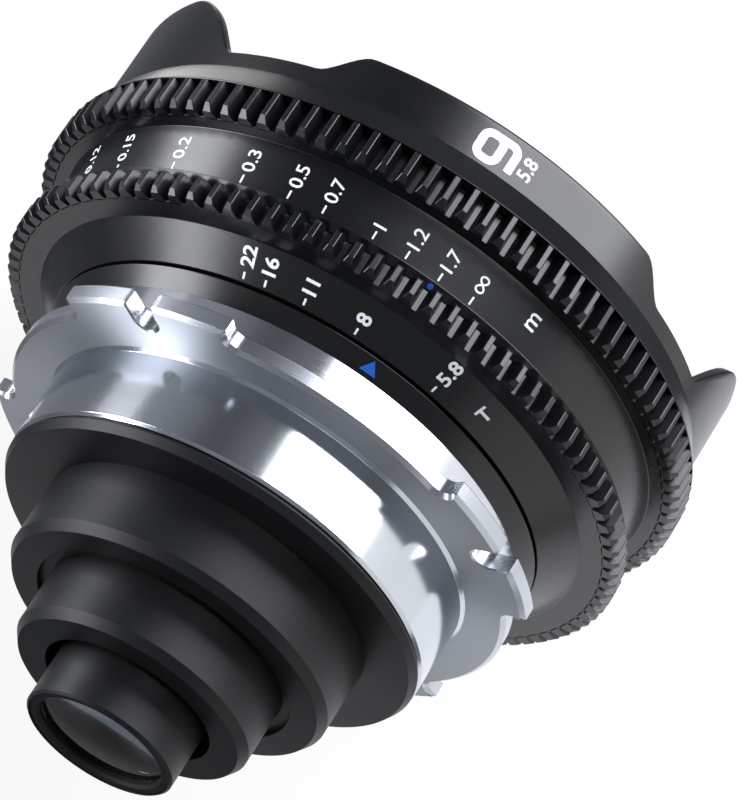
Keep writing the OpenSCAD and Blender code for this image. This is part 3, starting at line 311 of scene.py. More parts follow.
@dataclass(frozen=True)
class TurnedMetal(Finish):
    """Metal turned on a lathe: fine rings about the axis that draw reflections out across them."""

    line: float = 0.3
    relief: float = 0.06
    drift: float = 0.04
    pull: float = 0.0
    cut: float = 0.02
    detail: float = 3.0

    def dress(self, skin: Skin) -> None:
        """Adds the turning rings.

        The tool feeds about 0.08 mm a turn; the rings are drawn at a few tenths so that they show.

        Args:
            skin: nodes of the material.
        """
        tree, spot = skin.tree, skin.spot
        across = {1: (1.0, 0.0, 1.0)}
        flat = add_node(tree, "ShaderNodeVectorMath", {0: spot}, across, operation="MULTIPLY")
        reach = add_node(tree, "ShaderNodeVectorMath", {0: flat.outputs["Vector"]}, operation="LENGTH")
        parts = add_node(tree, "ShaderNodeSeparateXYZ", {"Vector": spot})
        ring = add_node(tree, "ShaderNodeCombineXYZ", {"X": reach.outputs["Value"], "Y": parts.outputs["Y"]})
        rings = skin.noise(self.line, self.detail, ring.outputs["Vector"])
        skin.relief(rings, self.relief, self.cut)
        skin.gloss(rings, self.roughness - self.drift, self.roughness + self.drift)
        skin.give({"Metallic": 1.0})
        if self.pull:
            self.comb(skin)

    def comb(self, skin: Skin) -> None:
        """Draws the gloss out across the rings, which fans the light over a turned face.

        Args:
            skin: nodes of the material.
        """
        axis = {0: (0.0, 1.0, 0.0)}
        about = add_node(skin.tree, "ShaderNodeVectorMath", {1: skin.spot}, axis, operation="CROSS_PRODUCT")
        along = add_node(
            skin.tree,
            "ShaderNodeVectorTransform",
            {"Vector": about.outputs["Vector"]},
            vector_type="VECTOR",
            convert_from="OBJECT",
            convert_to="WORLD",
        )
        skin.tree.links.new(along.outputs["Vector"], skin.shader.inputs["Tangent"])
        quarter_turn = 0.25
        skin.give({"Anisotropic": self.pull, "Anisotropic Rotation": quarter_turn})


@dataclass(frozen=True)
class EngravedPaint(Finish):
    """Enamel wiped into engraving: flat and even, with a slight mottle."""

    mottle: float = 0.4
    drift: float = 0.08

    def dress(self, skin: Skin) -> None:
        """Adds the mottle that wiped enamel shows at about 0.4 mm."""
        skin.gloss(skin.noise(self.mottle), self.roughness - self.drift, self.roughness + self.drift)


@dataclass(frozen=True)
class CoatedGlass(Finish):
    """Optical crown glass with a quarter-wave coating: clear, with faint coloured reflections."""

    ior: float = 1.52
    coat_ior: float = 1.38
    coat_nm: float = 105.0
    haze: float = 6.0

    def dress(self, skin: Skin) -> None:
        """Makes the glass clear and coats it; polish leaves a haze that varies very little."""
        skin.gloss(skin.noise(self.haze), 0.0, self.roughness)
        skin.give(
            {
                "Transmission Weight": 1.0,
                "IOR": self.ior,
                "Thin Film Thickness": self.coat_nm,
                "Thin Film IOR": self.coat_ior,
            }
        )


# Fine satin black of the rings and the hood: deep, with soft-edged highlights.
BARREL_BLACK = BlastedAnodise("anodised_aluminium_bead_blasted", "#0b0c0d", 0.27, relief=0.16, drift=0.04)
# Coarser grit on the rear tiers: duller, with wide and weak highlights.
TIER_BLACK = BlastedAnodise("anodised_aluminium_coarse_blasted", "#0b0c0d", 0.46, relief=0.2, ior=1.36)
# Cut tooth flanks: smoother, so that each tooth catches a clear glint.
GEAR_BLACK = BlastedAnodise("anodised_aluminium_hobbed", "#0e0f11", 0.27, grain=0.2, relief=0.1)
# Matt black inside, which swallows stray light.
INNER_BLACK = BlastedAnodise("anodised_aluminium_matt", "#0c0c0d", 0.65, relief=0.3, ior=1.35)
# Turned flange face: light fans out over it from the axis.
FLANGE_STEEL = TurnedMetal("stainless_steel_fine_turned", "#b4b8be", 0.55, pull=0.93)
# Polished barrel: a nearly clear image of the lamps.
BARREL_STEEL = TurnedMetal("stainless_steel_polished", "#c9cdd3", 0.15, line=0.5, relief=0.02, drift=0.02)
# Milled walls and chamfers of the flange: bright, but blurred.
EDGE_STEEL = TurnedMetal("stainless_steel_satin", "#bec2c8", 0.27, line=0.5, relief=0.02, drift=0.02)
# Bright turned base ring: a shade whiter than the steel beside it.
BASE_METAL = TurnedMetal("aluminium_bright_turned", "#d2d5dc", 0.14, line=0.4, relief=0.03)
# Yellow of the shim and of the cam's pieces.
SHIM_BRASS = TurnedMetal("brass_shim_sheet", "#c9a24e", 0.35)
CAM_BRASS = TurnedMetal("brass_turned", "#c49a45", 0.28)
# Screws, pins and the iris plate: dark grey steel, darkened further so that the iris plate deep inside the lens stays
# dark: painted shade.
SCREW_STEEL = TurnedMetal("steel_shade_darkened", "#3c3e43", 0.35)
# Blackened blades: dull, so that the iris stays dark.
BLADE_STEEL = BlastedAnodise("spring_steel_blackened", "#0d0d0e", 0.55, relief=0.1, ior=1.4)
# Clear glass greyed in its colour, which darkens all that is seen through it: painted shade of the lens's dark
# inside, with a faint cool tint.
SHADE_GREYED_GLASS = CoatedGlass("optical_glass_shade_greyed", "#b4bcc0", 0.02)
# Enamel of the figures and of the two pointers.
WHITE_PAINT = EngravedPaint("enamel_white", "#f4f5f8", 0.5)
BLUE_PAINT = EngravedPaint("enamel_blue", "#1b62c4", 0.45)


def eased(corners: Sequence[Corner]) -> list[Point]:
    """Rounds the corners of a closed turning profile.

    Each rounded corner also gets a point on either side, so that the flats beside it keep their own normals.

    Args:
        corners: radius and station of each corner, and its rounding where it has one.

    Returns:
        The closed profile as radii and stations.
    """
    out: list[Point] = []
    longest, farthest = 0.42, 0.48  # shares of a side that a rounding and its guard point may take
    for i, (r, y, *rounding) in enumerate(corners):
        if not rounding:
            out.append((r, y))
            continue
        here = Vector((r, y))
        before = Vector(corners[i - 1][:2]) - here
        after = Vector(corners[(i + 1) % len(corners)][:2]) - here
        a, b = before.normalized(), after.normalized()
        half = math.acos(max(-1.0, min(1.0, a.dot(b)))) / 2
        reach = min(rounding[0] / math.tan(half), longest * before.length, longest * after.length)
        radius = reach * math.tan(half)
        centre = here + (a + b).normalized() * (radius / math.sin(half))
        start, end = here + a * reach - centre, here + b * reach - centre
        sweep = start.angle_signed(end)
        if reach + GUARD < farthest * before.length:
            out.append(tuple(here + a * (reach + GUARD)))
        for k in range(BENDS + 1):
            out.append(tuple(centre + Matrix.Rotation(-sweep * k / BENDS, 2) @ start))
        if reach + GUARD < farthest * after.length:
            out.append(tuple(here + b * (reach + GUARD)))
    return out


def object_of(name: str, mesh: Mesh, *finishes: Finish) -> Object:
    """Object for a mesh, shaded smooth with crisp edges and dressed in its finishes.

    Args:
        name: name of the piece.
        mesh: its mesh.
        finishes: finishes by the faces' material index.

    Returns:
        The object, linked into the scene.
    """
    mesh.shade_smooth()
    mesh.set_sharp_from_angle(angle=CREASE)
    for finish in finishes:
        mesh.materials.append(finish.make())
    return link(bpy.data.objects.new(name, mesh))


def bridge(form: Form, rows: Sequence[Sequence[Vert]], index: int = 0) -> None:
    """Joins closed rows of vertices by a skin of faces.

    Args:
        form: mesh under construction.
        rows: rows with the same number of vertices.
        index: material index of the faces.
    """
    for low, high in zip(rows, rows[1:]):
        for i in range(len(low)):
            n = (i + 1) % len(low)
            form.faces.new((low[i], low[n], high[n], high[i])).material_index = index


def mesh_of(name: str, form: Form) -> Mesh:
    """Mesh of a finished form, with its faces outwards.

    Args:
        name: name of the mesh.
        form: mesh under construction, which is used up.

    Returns:
        The mesh.
    """
    bmesh.ops.recalc_face_normals(form, faces=form.faces[:])
    mesh = bpy.data.meshes.new(name)
    form.to_mesh(mesh)
    form.free()
    return mesh


def winding(profile: Sequence[Point]) -> float:
    """Twice the area of a closed profile, positive where it runs with its inside on the left."""
    return sum(p[0] * q[1] - q[0] * p[1] for p, q in zip(profile, [*profile[1:], profile[0]]))


def turned_mesh(name: str, profile: Sequence[Point], steps: int = TURN_STEPS) -> Mesh:
    """Mesh turned about the optical axis.

    Args:
        name: name of the mesh.
        profile: closed profile of radii and stations in millimetres; radius 0 makes a pole.
        steps: facets round the axis.

    Returns:
        A closed mesh with its faces outwards.
    """
    loop = list(profile) if winding(profile) > 0 else list(reversed(profile))
    spots: list[Vector] = []
    rows: list[list[int]] = []
    for r, y in loop:
        pole = r <= POLE
        rows.append([len(spots)] * steps if pole else list(range(len(spots), len(spots) + steps)))
        spots.extend(clock(r, y, 360 * k / steps) for k in range(1 if pole else steps))
    faces: list[tuple[int, ...]] = []
    for low, high in zip(rows, [*rows[1:], rows[0]]):
        if low[0] == low[1] and high[0] == high[1]:
            continue
        for k in range(steps):
            n = (k + 1) % steps
            faces.append(tuple(dict.fromkeys((low[k], low[n], high[n], high[k]))))
    mesh = bpy.data.meshes.new(name)
    mesh.from_pydata([tuple(s) for s in spots], [], faces)
    mesh.validate()
    return mesh


def turned(name: str, corners: Sequence[Corner], finish: Finish) -> Object:
    """Piece turned from a profile with rounded corners."""
    return object_of(name, turned_mesh(name, eased(corners)), finish)


def hand_over(piece: Object, body: Body, slot: Slot, *nodes: str) -> None:
    """Lets a finished piece ride on its body and stand for its solids.

    Args:
        piece: the finished piece.
        body: body that it moves with.
        slot: record slot of its finish; not used.
        nodes: solids that it stands for.
    """
    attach(piece, body.value)
    if nodes:
        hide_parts(*nodes)
    log.info("%s: %d faces on %s", piece.name, len(piece.data.polygons), body.value)


def settle(piece: Object, tree: Tree, inputs: dict[str, Any]) -> None:
    """Runs a node tree on a piece and keeps the result as its plain mesh.

    Args:
        piece: object whose mesh goes into the tree.
        tree: the geometry tree.
        inputs: values by input name.
    """
    modifier = piece.modifiers.new(tree.name, "NODES")
    modifier.node_group = tree
    names = {item.name: item.identifier for item in tree.interface.items_tree if item.in_out == "INPUT"}
    for name, value in inputs.items():
        modifier[names[name]] = value
    done = bpy.data.meshes.new_from_object(piece.evaluated_get(bpy.context.evaluated_depsgraph_get()))
    piece.modifiers.clear()
    piece.data = done


def open_tree(name: str, shape: str, kinds: dict[str, str]) -> tuple[Tree, Any]:
    """Starts a geometry tree with named inputs.

    Args:
        name: name of the tree.
        shape: name of the geometry that goes in and comes out.
        kinds: kind of socket by the name of each further input.

    Returns:
        The tree and the sockets of its inputs.
    """
    tree = bpy.data.node_groups.new(name, "GeometryNodeTree")
    tree.interface.new_socket(shape, in_out="INPUT", socket_type="NodeSocketGeometry")
    for label, kind in {**kinds, "Finish": "Material"}.items():
        tree.interface.new_socket(label, in_out="INPUT", socket_type=f"NodeSocket{kind}")
    tree.interface.new_socket(shape, in_out="OUTPUT", socket_type="NodeSocketGeometry")
    return tree, add_node(tree, "NodeGroupInput").outputs


def close_tree(tree: Tree, shape: Socket, finish: Socket) -> Tree:
    """Ends a geometry tree with plain geometry in its finish.

    Args:
        tree: the tree.
        shape: its geometry so far.
        finish: the input with the finish.

    Returns:
        The same tree.
    """
    real = add_node(tree, "GeometryNodeRealizeInstances", {"Geometry": shape}).outputs["Geometry"]
    dressed = add_node(tree, "GeometryNodeSetMaterial", {"Geometry": real, "Material": finish})
    add_node(tree, "NodeGroupOutput", {0: dressed.outputs["Geometry"]})
    return tree


def tooth_row_tree() -> Tree:
    """Tree that repeats one gear tooth round the axis.

    Returns:
        The tree with inputs for the tooth, their number, the first angle and the finish.
    """
    tree, given = open_tree("tooth_row", "Tooth", {"Teeth": "Int", "First angle": "Float"})
    points = add_node(tree, "GeometryNodeMeshLine", {"Count": given["Teeth"]}, {"Offset": (0.0, 0.0, 0.0)})
    pitch = reckon(tree, "DIVIDE", math.tau, given["Teeth"])
    index = add_node(tree, "GeometryNodeInputIndex").outputs["Index"]
    angle = reckon(tree, "MULTIPLY_ADD", index, pitch, given["First angle"])
    turn = add_node(tree, "ShaderNodeCombineXYZ", {"Y": angle})
    rotation = add_node(tree, "FunctionNodeEulerToRotation", {"Euler": turn.outputs["Vector"]})
    row = add_node(
        tree,
        "GeometryNodeInstanceOnPoints",
        {"Points": points.outputs["Mesh"], "Instance": given["Tooth"], "Rotation": rotation.outputs["Rotation"]},
    )
    return close_tree(tree, row.outputs["Instances"], given["Finish"])


@dataclass
class GearTeeth:
    """Row of involute teeth with chamfered ends."""

    teeth: int
    first_angle: float
    front_y: float
    rear_y: float
    front_chamfer: float
    rear_chamfer: float
    module: float = 0.8
    pressure_angle: float = math.radians(20.0)
    dedendum: float = 1.25
    tip_edge: float = 0.06
    sink: float = 0.2

    @property
    def pitch_r(self) -> float:
        """Radius of the pitch circle."""
        return self.module * self.teeth / 2

    @property
    def tip_r(self) -> float:
        """Radius over the teeth."""
        return self.pitch_r + self.module

    @property
    def root_r(self) -> float:
        """Radius between the teeth."""
        return self.pitch_r - self.dedendum * self.module

    def half_width(self, r: float) -> float:
        """Half the thickness of a tooth.

        Args:
            r: radius where it is measured.

        Returns:
            Half the thickness in millimetres, by the involute down to the base circle.
        """
        start = self.pressure_angle
        lean = math.acos(min(1.0, self.pitch_r * math.cos(start) / r))
        grown = (math.tan(start) - start) - (math.tan(lean) - lean)
        return r * (math.pi / (2 * self.teeth) + grown)

    def section(self, y: float, top: float) -> list[Vector]:
        """Outline of a tooth across the axis.

        Args:
            y: station of the section.
            top: radius of the tooth's top there.

        Returns:
            Points from one foot over the top to the other.
        """
        radii = [self.root_r - self.sink, self.root_r, (self.root_r + top) / 2, top - self.tip_edge]
        side = [(self.half_width(max(r, self.root_r)), r) for r in radii]
        side.append((self.half_width(top) - self.tip_edge, top))
        left = [Vector((-x, y, r)) * MM for x, r in side]
        right = [Vector((x, y, r)) * MM for x, r in reversed(side)]
        return left + right

    def tooth(self, name: str) -> Mesh:
        """Mesh of one tooth at the index line.

        Args:
            name: name of the mesh.

        Returns:
            A closed mesh of a few dozen faces.
        """
        cuts = [
            self.section(self.front_y, self.tip_r - self.front_chamfer),
            self.section(self.front_y + self.front_chamfer, self.tip_r),
            self.section(self.rear_y - self.rear_chamfer, self.tip_r),
            self.section(self.rear_y, self.tip_r - self.rear_chamfer),
        ]
        form = bmesh.new()
        rows = [[form.verts.new(p) for p in cut] for cut in cuts]
        bridge(form, rows)
        form.faces.new(rows[0])
        form.faces.new(rows[-1])
        return mesh_of(name, form)

    def build(self, name: str, tree: Tree, finish: Finish) -> Object:
        """Row of teeth as one plain mesh.

        Args:
            name: name of the piece.
            tree: the tree that repeats the tooth.
            finish: finish of the teeth.

        Returns:
            The row.
        """
        row = object_of(name, self.tooth(name), finish)
        row.data.shade_flat()
        first = math.radians(self.first_angle)
        settle(row, tree, {"Teeth": self.teeth, "First angle": first, "Finish": finish.make()})
        return row


@dataclass(frozen=True)
class Lettering:
    """Style of a row of figures: height and start in millimetres, weight and stretch as shares of the font's."""

    height: float
    weight: float
    start: float
    stretch: float = 1.0
    long_stretch: float = 1.0
    short: int = 3
    cap: float = 0.72

    @property
    def scale(self) -> float:
        """Millimetres for a unit of the font, whose capitals are `cap` high."""
        return self.height / self.cap


@dataclass
class Marks:
    """Thin paint marks that lie on a turned surface, gathered into one mesh."""

    radius_at: Callable[[float], float]
    lift: float = 0.015
    depth: float = 0.03
    probe: float = 0.5
    dot_steps: int = 28
    loop_steps: int = 48
    bend_steps: int = 6
    curve_steps: int = 4
    weld: float = 1e-7
    form: Form = field(default_factory=bmesh.new)

    def lay(self, u: float, v: float, w: float, y: float, angle: float) -> Vector:
        """Point of a mark on the surface.

        Args:
            u: distance from the mark's start towards the front.
            v: distance along the circle, away from the index line's right.
            w: height above the paint's middle.
            y: station of the mark's start.
            angle: angle of the mark.

        Returns:
            The point in metres.
        """
        rise = (self.radius_at(y - u - self.probe) - self.radius_at(y - u)) / self.probe
        spot = y - u / math.hypot(1.0, rise)
        here = self.radius_at(spot)
        return clock(here + w + self.lift, spot, angle + math.degrees(v / here))

    def prism(self, outline: Sequence[Point], y: float, angle: float) -> None:
        """Adds a flat mark with a straight-sided outline.

        Args:
            outline: points along the axis and along the circle in millimetres.
            y: station of the mark's start.
            angle: angle of the mark.
        """
        half = self.depth / 2
        top = [self.form.verts.new(self.lay(u, v, half, y, angle)) for u, v in outline]
        low = [self.form.verts.new(self.lay(u, v, -half, y, angle)) for u, v in outline]
        self.form.faces.new(top)
        self.form.faces.new(reversed(low))
        bridge(self.form, [low, top])

    def tick(self, line: Triple, angle: float) -> None:
        """Adds a line along the axis, given by its start, length and width."""
        y, length, width = line
        self.prism([(0, -width / 2), (length, -width / 2), (length, width / 2), (0, width / 2)], y, angle)

    def dot(self, y: float, angle: float, radius: float) -> None:
        """Adds a round dot."""
        turns = [math.tau * k / self.dot_steps for k in range(self.dot_steps)]
        self.prism([(radius * math.cos(t), radius * math.sin(t)) for t in turns], y, angle)

    def figure(self, text: str, style: Lettering, angle: float) -> None:
        """Adds figures that read towards the front.

        Args:
            text: the figures.
            style: their style and start.
            angle: angle of their middle line.
        """
        curve = bpy.data.curves.new("figure", "FONT")
        curve.body = text
        curve.resolution_u = self.curve_steps
        curve.offset = style.weight
        curve.extrude = self.depth / 2 / style.scale
        writer = link(bpy.data.objects.new("figure", curve))
        bpy.context.view_layer.update()
        mesh = bpy.data.meshes.new_from_object(writer.evaluated_get(bpy.context.evaluated_depsgraph_get()))
        first = min(v.co.x for v in mesh.vertices)
        stretch = style.stretch if len(text) <= style.short else style.long_stretch
        for v in mesh.vertices:
            along, up, out = Vector((v.co.x - first, v.co.y - style.cap / 2, v.co.z)) * style.scale
            v.co = self.lay(along * stretch, up, out, style.start, angle)
        self.form.from_mesh(mesh)
        bpy.data.objects.remove(writer)
        bpy.data.curves.remove(curve)
        bpy.data.meshes.remove(mesh)

    def stroke(self, path: Sequence[Vector], closed: bool, width: float, y: float, angle: float) -> None:
        """Adds a line of even width along a path.

        Args:
            path: middle line, along the axis and along the circle in millimetres.
            closed: whether the line runs back into its start.
            width: width of the line.
            y: station of the path's origin.
            angle: angle of the path's origin.
        """
        count = len(path)
        rows = []
        for k, here in enumerate(path):
            before = path[k - 1] if closed or k else here
            after = path[(k + 1) % count] if closed or k + 1 < count else here
            along = (after - before).normalized()
            side = Vector((-along.y, along.x)) * width / 2
            corners = [(here + side, 1), (here - side, 1), (here - side, -1), (here + side, -1)]
            rows.append([self.form.verts.new(self.lay(p.x, p.y, s * self.depth / 2, y, angle)) for p, s in corners])
        bridge(self.form, [*rows, rows[0]] if closed else rows)
        if not closed:
            self.form.faces.new(rows[0])
            self.form.faces.new(rows[-1])

    def endless(self, length: float, height: float, width: float, y: float, angle: float) -> None:
        """Adds the sign for an endless distance, a lying loop of two bows.

        Args:
            length: its length along the axis.
            height: its height along the circle.
            width: width of its line.
            y: station where it starts.
            angle: angle of its middle.
        """
        turns = [math.tau * k / self.loop_steps for k in range(self.loop_steps)]
        bows = [Vector((math.cos(t), math.sin(t) * math.cos(t))) / (1 + math.sin(t) ** 2) for t in turns]
        tall = max(p.y for p in bows)
        long, high = (length - width) / 2, (height - width) / 2
        path = [Vector((length / 2 + p.x * long, p.y / tall * high)) for p in bows]
        self.stroke(path, True, width, y, angle)

    def square_nine(self, length: float, height: float, width: float, y: float, angle: float) -> None:
        """Adds a bold, square-built 9 with an open tail.

        Args:
            length: its length along the axis.
            height: its height along the circle.
            width: width of its line.
            y: station where it starts.
            angle: angle of its middle.
        """
        waist_share, bend_share = 0.42, 0.36
        left, right = width / 2, length - width / 2
        low, top = (width - height) / 2, (height - width) / 2
        waist = low + (top - low) * waist_share
        bend = min(top - waist, right - left) * bend_share
        shares = [k / self.bend_steps for k in range(self.bend_steps + 1)]

        def bow(x: float, v: float, first: float, last: float) -> list[Vector]:
            """Turn about a corner's centre, between two angles in degrees."""
            turns = [math.radians(first + (last - first) * share) for share in shares]
            return [Vector((x + bend * math.cos(t), v + bend * math.sin(t))) for t in turns]

        near, far = left + bend, right - bend
        bowl = [
            *bow(far, top - bend, 0, 90),
            *bow(near, top - bend, 90, 180),
            *bow(near, waist + bend, 180, 270),
            *bow(far, waist + bend, 270, 360),
        ]
        tail = [Vector((right, waist + bend)), *bow(far, low + bend, 0, -90), Vector((left, low))]
        self.stroke(bowl, True, width, y, angle)
        self.stroke(tail, False, width, y, angle)

    def build(self, name: str, finish: Finish) -> Object:
        """Piece that holds all the marks."""
        bmesh.ops.remove_doubles(self.form, verts=self.form.verts[:], dist=self.weld)
        return object_of(name, mesh_of(name, self.form), finish)


@dataclass
class Mount:
    """Positive-lock mount: barrel, flange with four notched tabs, and the bright ring ahead of it.

    The edges of a tab and of its notch are drops in radius, turns in degrees and chamfers.
    """

    barrel_r: float = 27.0
    barrel_len: float = 9.7
    rim_chamfer: float = 0.35
    rim_r: float = 26.4
    rim_floor: float = 8.5
    bore_r: float = 25.4
    root: float = 0.4
    recess_r: float = 32.4
    tab_angles: tuple[float, ...] = (45.0, 135.0, 225.0, 315.0)
    tab_r: float = 35.0
    tab_half: float = 19.0
    tab_fillet: float = 1.5
    tab_edge: tuple[Triple, ...] = ((0.35, 0.0, 0.4), (0.08, 0.04, 0.5), (0.0, 0.2, 0.5))
    notch_w: float = 3.3
    notch_floor: float = 30.7
    notch_edge: tuple[Triple, ...] = ((0.0, 0.3, 0.42), (0.06, 0.06, 0.3))
    notch_mouth: float = 0.3
    notch_gap: float = 0.35
    thick: float = 2.3
    chamfer: float = 0.5
    front_chamfer: float = 0.12
    notch_chamfer: float = 0.18
    inner_r: float = 22.5
    inner_h: float = 0.7
    base_r: float = 30.8
    base_rear: float = -2.5
    base_front: float = -5.95
    base_bore: float = 29.43
    bend_steps: int = 8
    tab_steps: int = 14
    recess_steps: int = 24

    @property
    def lean(self) -> float:
        """Angle that a tab's fillet takes up beside it."""
        return math.degrees(math.asin(self.tab_fillet / (self.recess_r + self.tab_fillet)))

    def tab_side(self, middle: float, side: int) -> list[Edge]:
        """Outline of half a tab, from the recess beside it to the notch's floor.

        Args:
            middle: angle of the tab's middle.
            side: -1 for the side that comes first, 1 for the other.

        Returns:
            Points across the axis in millimetres, each with its chamfer.
        """
        reach_r = self.recess_r + self.tab_fillet
        edge, half = self.tab_half, self.notch_w / 2
        out: list[Edge] = []

        def spot(r: float, angle: float) -> Vector:
            """Point at a radius and an angle from the tab's middle."""
            a = math.radians(middle + side * angle)
            return Vector((r * math.sin(a), r * math.cos(a)))

        centre = spot(reach_r, edge + self.lean)
        start = spot(self.recess_r, edge + self.lean) - centre
        sweep = start.angle_signed(spot(reach_r * math.cos(math.radians(self.lean)), edge) - centre)
        for k in range(self.bend_steps + 1):
            out.append((centre + Matrix.Rotation(-sweep * k / self.bend_steps, 2) @ start, self.chamfer))
        for drop, turn, depth in self.tab_edge:
            out.append((spot(self.tab_r - drop, edge - turn), depth))
        last = math.degrees(math.asin(half / self.tab_r))
        begin = edge - self.tab_edge[-1][1]
        span = last + self.notch_gap - begin
        for k in range(1, self.tab_steps):
            out.append((spot(self.tab_r, begin + span * k / self.tab_steps), self.chamfer))
        for drop, turn, depth in self.notch_edge:
            out.append((spot(self.tab_r - drop, last + turn), depth))
        mouth = self.tab_r - self.notch_mouth
        out.append((spot(mouth, math.degrees(math.asin(half / mouth))), self.notch_chamfer))
        for k in range(self.bend_steps + 1):
            a = math.pi / 2 * k / self.bend_steps
            x, r = half * math.cos(a), self.notch_floor + half - half * math.sin(a)
            out.append((spot(math.hypot(x, r), math.degrees(math.atan2(x, r))), self.notch_chamfer))
        return out

    def outline(self) -> list[Edge]:
        """Outline of the flange across the axis.

        Returns:
            Points in millimetres round the axis, each with its chamfer.
        """
        loop: list[Edge] = []
        foot = self.tab_half + self.lean
        gap = 360 / len(self.tab_angles) - 2 * foot
        for middle in self.tab_angles:
            loop.extend(self.tab_side(middle, -1))
            loop.extend(reversed(self.tab_side(middle, 1)[:-1]))
            for k in range(1, self.recess_steps):
                a = math.radians(middle + foot + gap * k / self.recess_steps)
                loop.append((Vector((math.sin(a), math.cos(a))) * self.recess_r, self.chamfer))
        return loop

    def inset(self, loop: Sequence[Edge]) -> list[Vector]:
        """Outline moved inwards by its chamfers.

        Args:
            loop: the outline with its chamfers.

        Returns:
            The moved points.
        """
        out = []
        sharpest = 0.5  # limits how far a sharp corner moves
        for i, (here, depth) in enumerate(loop):
            along = [here - loop[i - 1][0], loop[(i + 1) % len(loop)][0] - here]
            normals = [Vector((-v.y, v.x)).normalized() for v in along]
            mean = (normals[0] + normals[1]).normalized()
            out.append(here - mean * depth / max(sharpest, mean.dot(normals[0])))
        return out

    def flange_and_barrel(self) -> Object:
        """Mount as one closed mesh.

        Returns:
            The piece, with the finishes of the flange's faces, of the barrel and of the flange's walls.
        """
        loop = self.outline()
        plain = [p for p, _ in loop]
        count = len(loop)
        form = bmesh.new()

        def ring(points: Sequence[Vector], heights: Sequence[float]) -> list[Vert]:
            """Vertices of one level of the flange."""
            return [form.verts.new(Vector((p.x, y, p.y)) * MM) for p, y in zip(points, heights)]

        levels = [
            ring(self.inset([(p, self.front_chamfer) for p in plain]), [-self.thick] * count),
            ring(plain, [self.front_chamfer - self.thick] * count),
            ring(plain, [-depth for _, depth in loop]),
            ring(self.inset(loop), [0.0] * count),
        ]
        bridge(form, levels, Side.WALL)
        profile = eased(
            [
                (self.barrel_r + self.root, 0.0),
                (self.barrel_r, self.root, FINE),
                (self.barrel_r, self.barrel_len - self.rim_chamfer, CRISP),
                (self.barrel_r - self.rim_chamfer, self.barrel_len, CRISP),
                (self.rim_r, self.barrel_len, CRISP),
                (self.rim_r, self.rim_floor),
                (self.bore_r, self.rim_floor),
                (self.bore_r, self.inner_h),
                (self.inner_r, self.inner_h),
                (self.inner_r, -self.thick),
            ]
        )
        turns = [360 * k / TURN_STEPS for k in range(TURN_STEPS)]
        rows = [[form.verts.new(clock(r, y, turn)) for turn in turns] for r, y in profile]
        bridge(form, rows, Side.BARREL)
        for level, circle in ((levels[-1], rows[0]), (levels[0], rows[-1])):
            edges = [form.edges.get((edge[i], edge[i - 1])) for edge in (level, circle) for i in range(len(edge))]
            bmesh.ops.triangle_fill(form, use_beauty=True, use_dissolve=False, edges=edges)
        finishes = {Side.FACE: FLANGE_STEEL, Side.BARREL: BARREL_STEEL, Side.WALL: EDGE_STEEL}
        return object_of("mount", mesh_of("mount", form), *finishes.values())

    def build(self) -> None:
        """Builds the mount and the ring ahead of it."""
        hand_over(self.flange_and_barrel(), Body.FIXED, Slot.MOUNT, "pl_mount")
        ring = [
            (self.base_bore, self.base_front),
            (self.base_r, self.base_front, SOFT),
            (self.base_r, self.base_rear, SOFT),
            (self.base_bore, self.base_rear),
        ]
        hand_over(turned("base_ring", ring, BASE_METAL), Body.FIXED, Slot.BASE, "mount_base_ring")


@dataclass
class RearTiers:
    """Three black tiers that step down behind the mount; each bevel is a drop in radius and a length."""

    first_r: float = 26.9
    first_rear: float = 11.3
    first_low: float = 10.05
    first_bevel: Point = (0.6, 1.0)
    neck_r: float = 26.37
    neck_low: float = 8.5
    socket_r: float = 25.37
    socket_low: float = 2.12
    second_r: float = 20.6
    second_rear: float = 20.7
    third_r: float = 15.0
    third_rear: float = 28.65
    bevel: Point = (0.8, 1.2)
    nose_r: float = 10.6
    nose_bore: float = 13.0
    foot_step: float = 2.4
    foot_depth: float = 3.8
    foot: float = 2.5
    seat: float = 0.03
    wall: float = 2.2
    recess: Point = (1.4, 0.6)

    def build(self) -> None:
        """Builds the three tiers from the mount outwards."""
        foot_y = self.first_rear - self.foot_depth
        foot_r = self.second_r + self.foot_step
        drop, length = self.first_bevel
        first = [
            (foot_r + self.seat, self.socket_low),
            (self.socket_r, self.socket_low),
            (self.socket_r, self.neck_low),
            (self.neck_r, self.neck_low),
            (self.neck_r, self.first_low),
            (self.first_r, self.first_low, FINE),
            (self.first_r, self.first_rear - length, SOFT),
            (self.first_r - drop, self.first_rear, SOFT),
            (self.second_r + self.seat, self.first_rear),
            (self.second_r + self.seat, foot_y),
            (foot_r + self.seat, foot_y),
        ]
        hand_over(turned("first_tier", first, TIER_BLACK), Body.FIXED, Slot.BLACK, "rear_base_ring")
        drop, length = self.bevel
        wide, deep = self.recess
        hole = self.third_r + self.seat
        low = self.second_rear - self.wall
        second = [
            (hole + self.foot_step, foot_y - self.foot),
            (foot_r, foot_y - self.foot),
            (foot_r, foot_y),
            (self.second_r, foot_y),
            (self.second_r, self.second_rear - length, ROUND),
            (self.second_r - drop, self.second_rear, ROUND),
            (hole + wide, self.second_rear, SOFT),
            (hole + wide, self.second_rear - deep),
            (hole, self.second_rear - deep),
            (hole, low),
            (hole + self.foot_step, low),
        ]
        hand_over(turned("second_tier", second, TIER_BLACK), Body.FIXED, Slot.BLACK, "rear_sleeve")
        third = [
            (self.nose_bore, low - self.foot),
            (self.third_r + self.foot_step, low - self.foot),
            (self.third_r + self.foot_step, low),
            (self.third_r, low),
            (self.third_r, self.third_rear - length, ROUND),
            (self.third_r - drop, self.third_rear, ROUND),
            (self.nose_r, self.third_rear, FULL),
            (self.nose_r, self.third_rear - self.wall),
            (self.nose_bore, self.third_rear - self.wall),
        ]
        hand_over(turned("third_tier", third, TIER_BLACK), Body.FIXED, Slot.BLACK, "rear_nose")


def sag(curve: float, r: float) -> float:
    """Height of a sphere's cap of that radius."""
    return curve - math.sqrt(curve * curve - r * r)


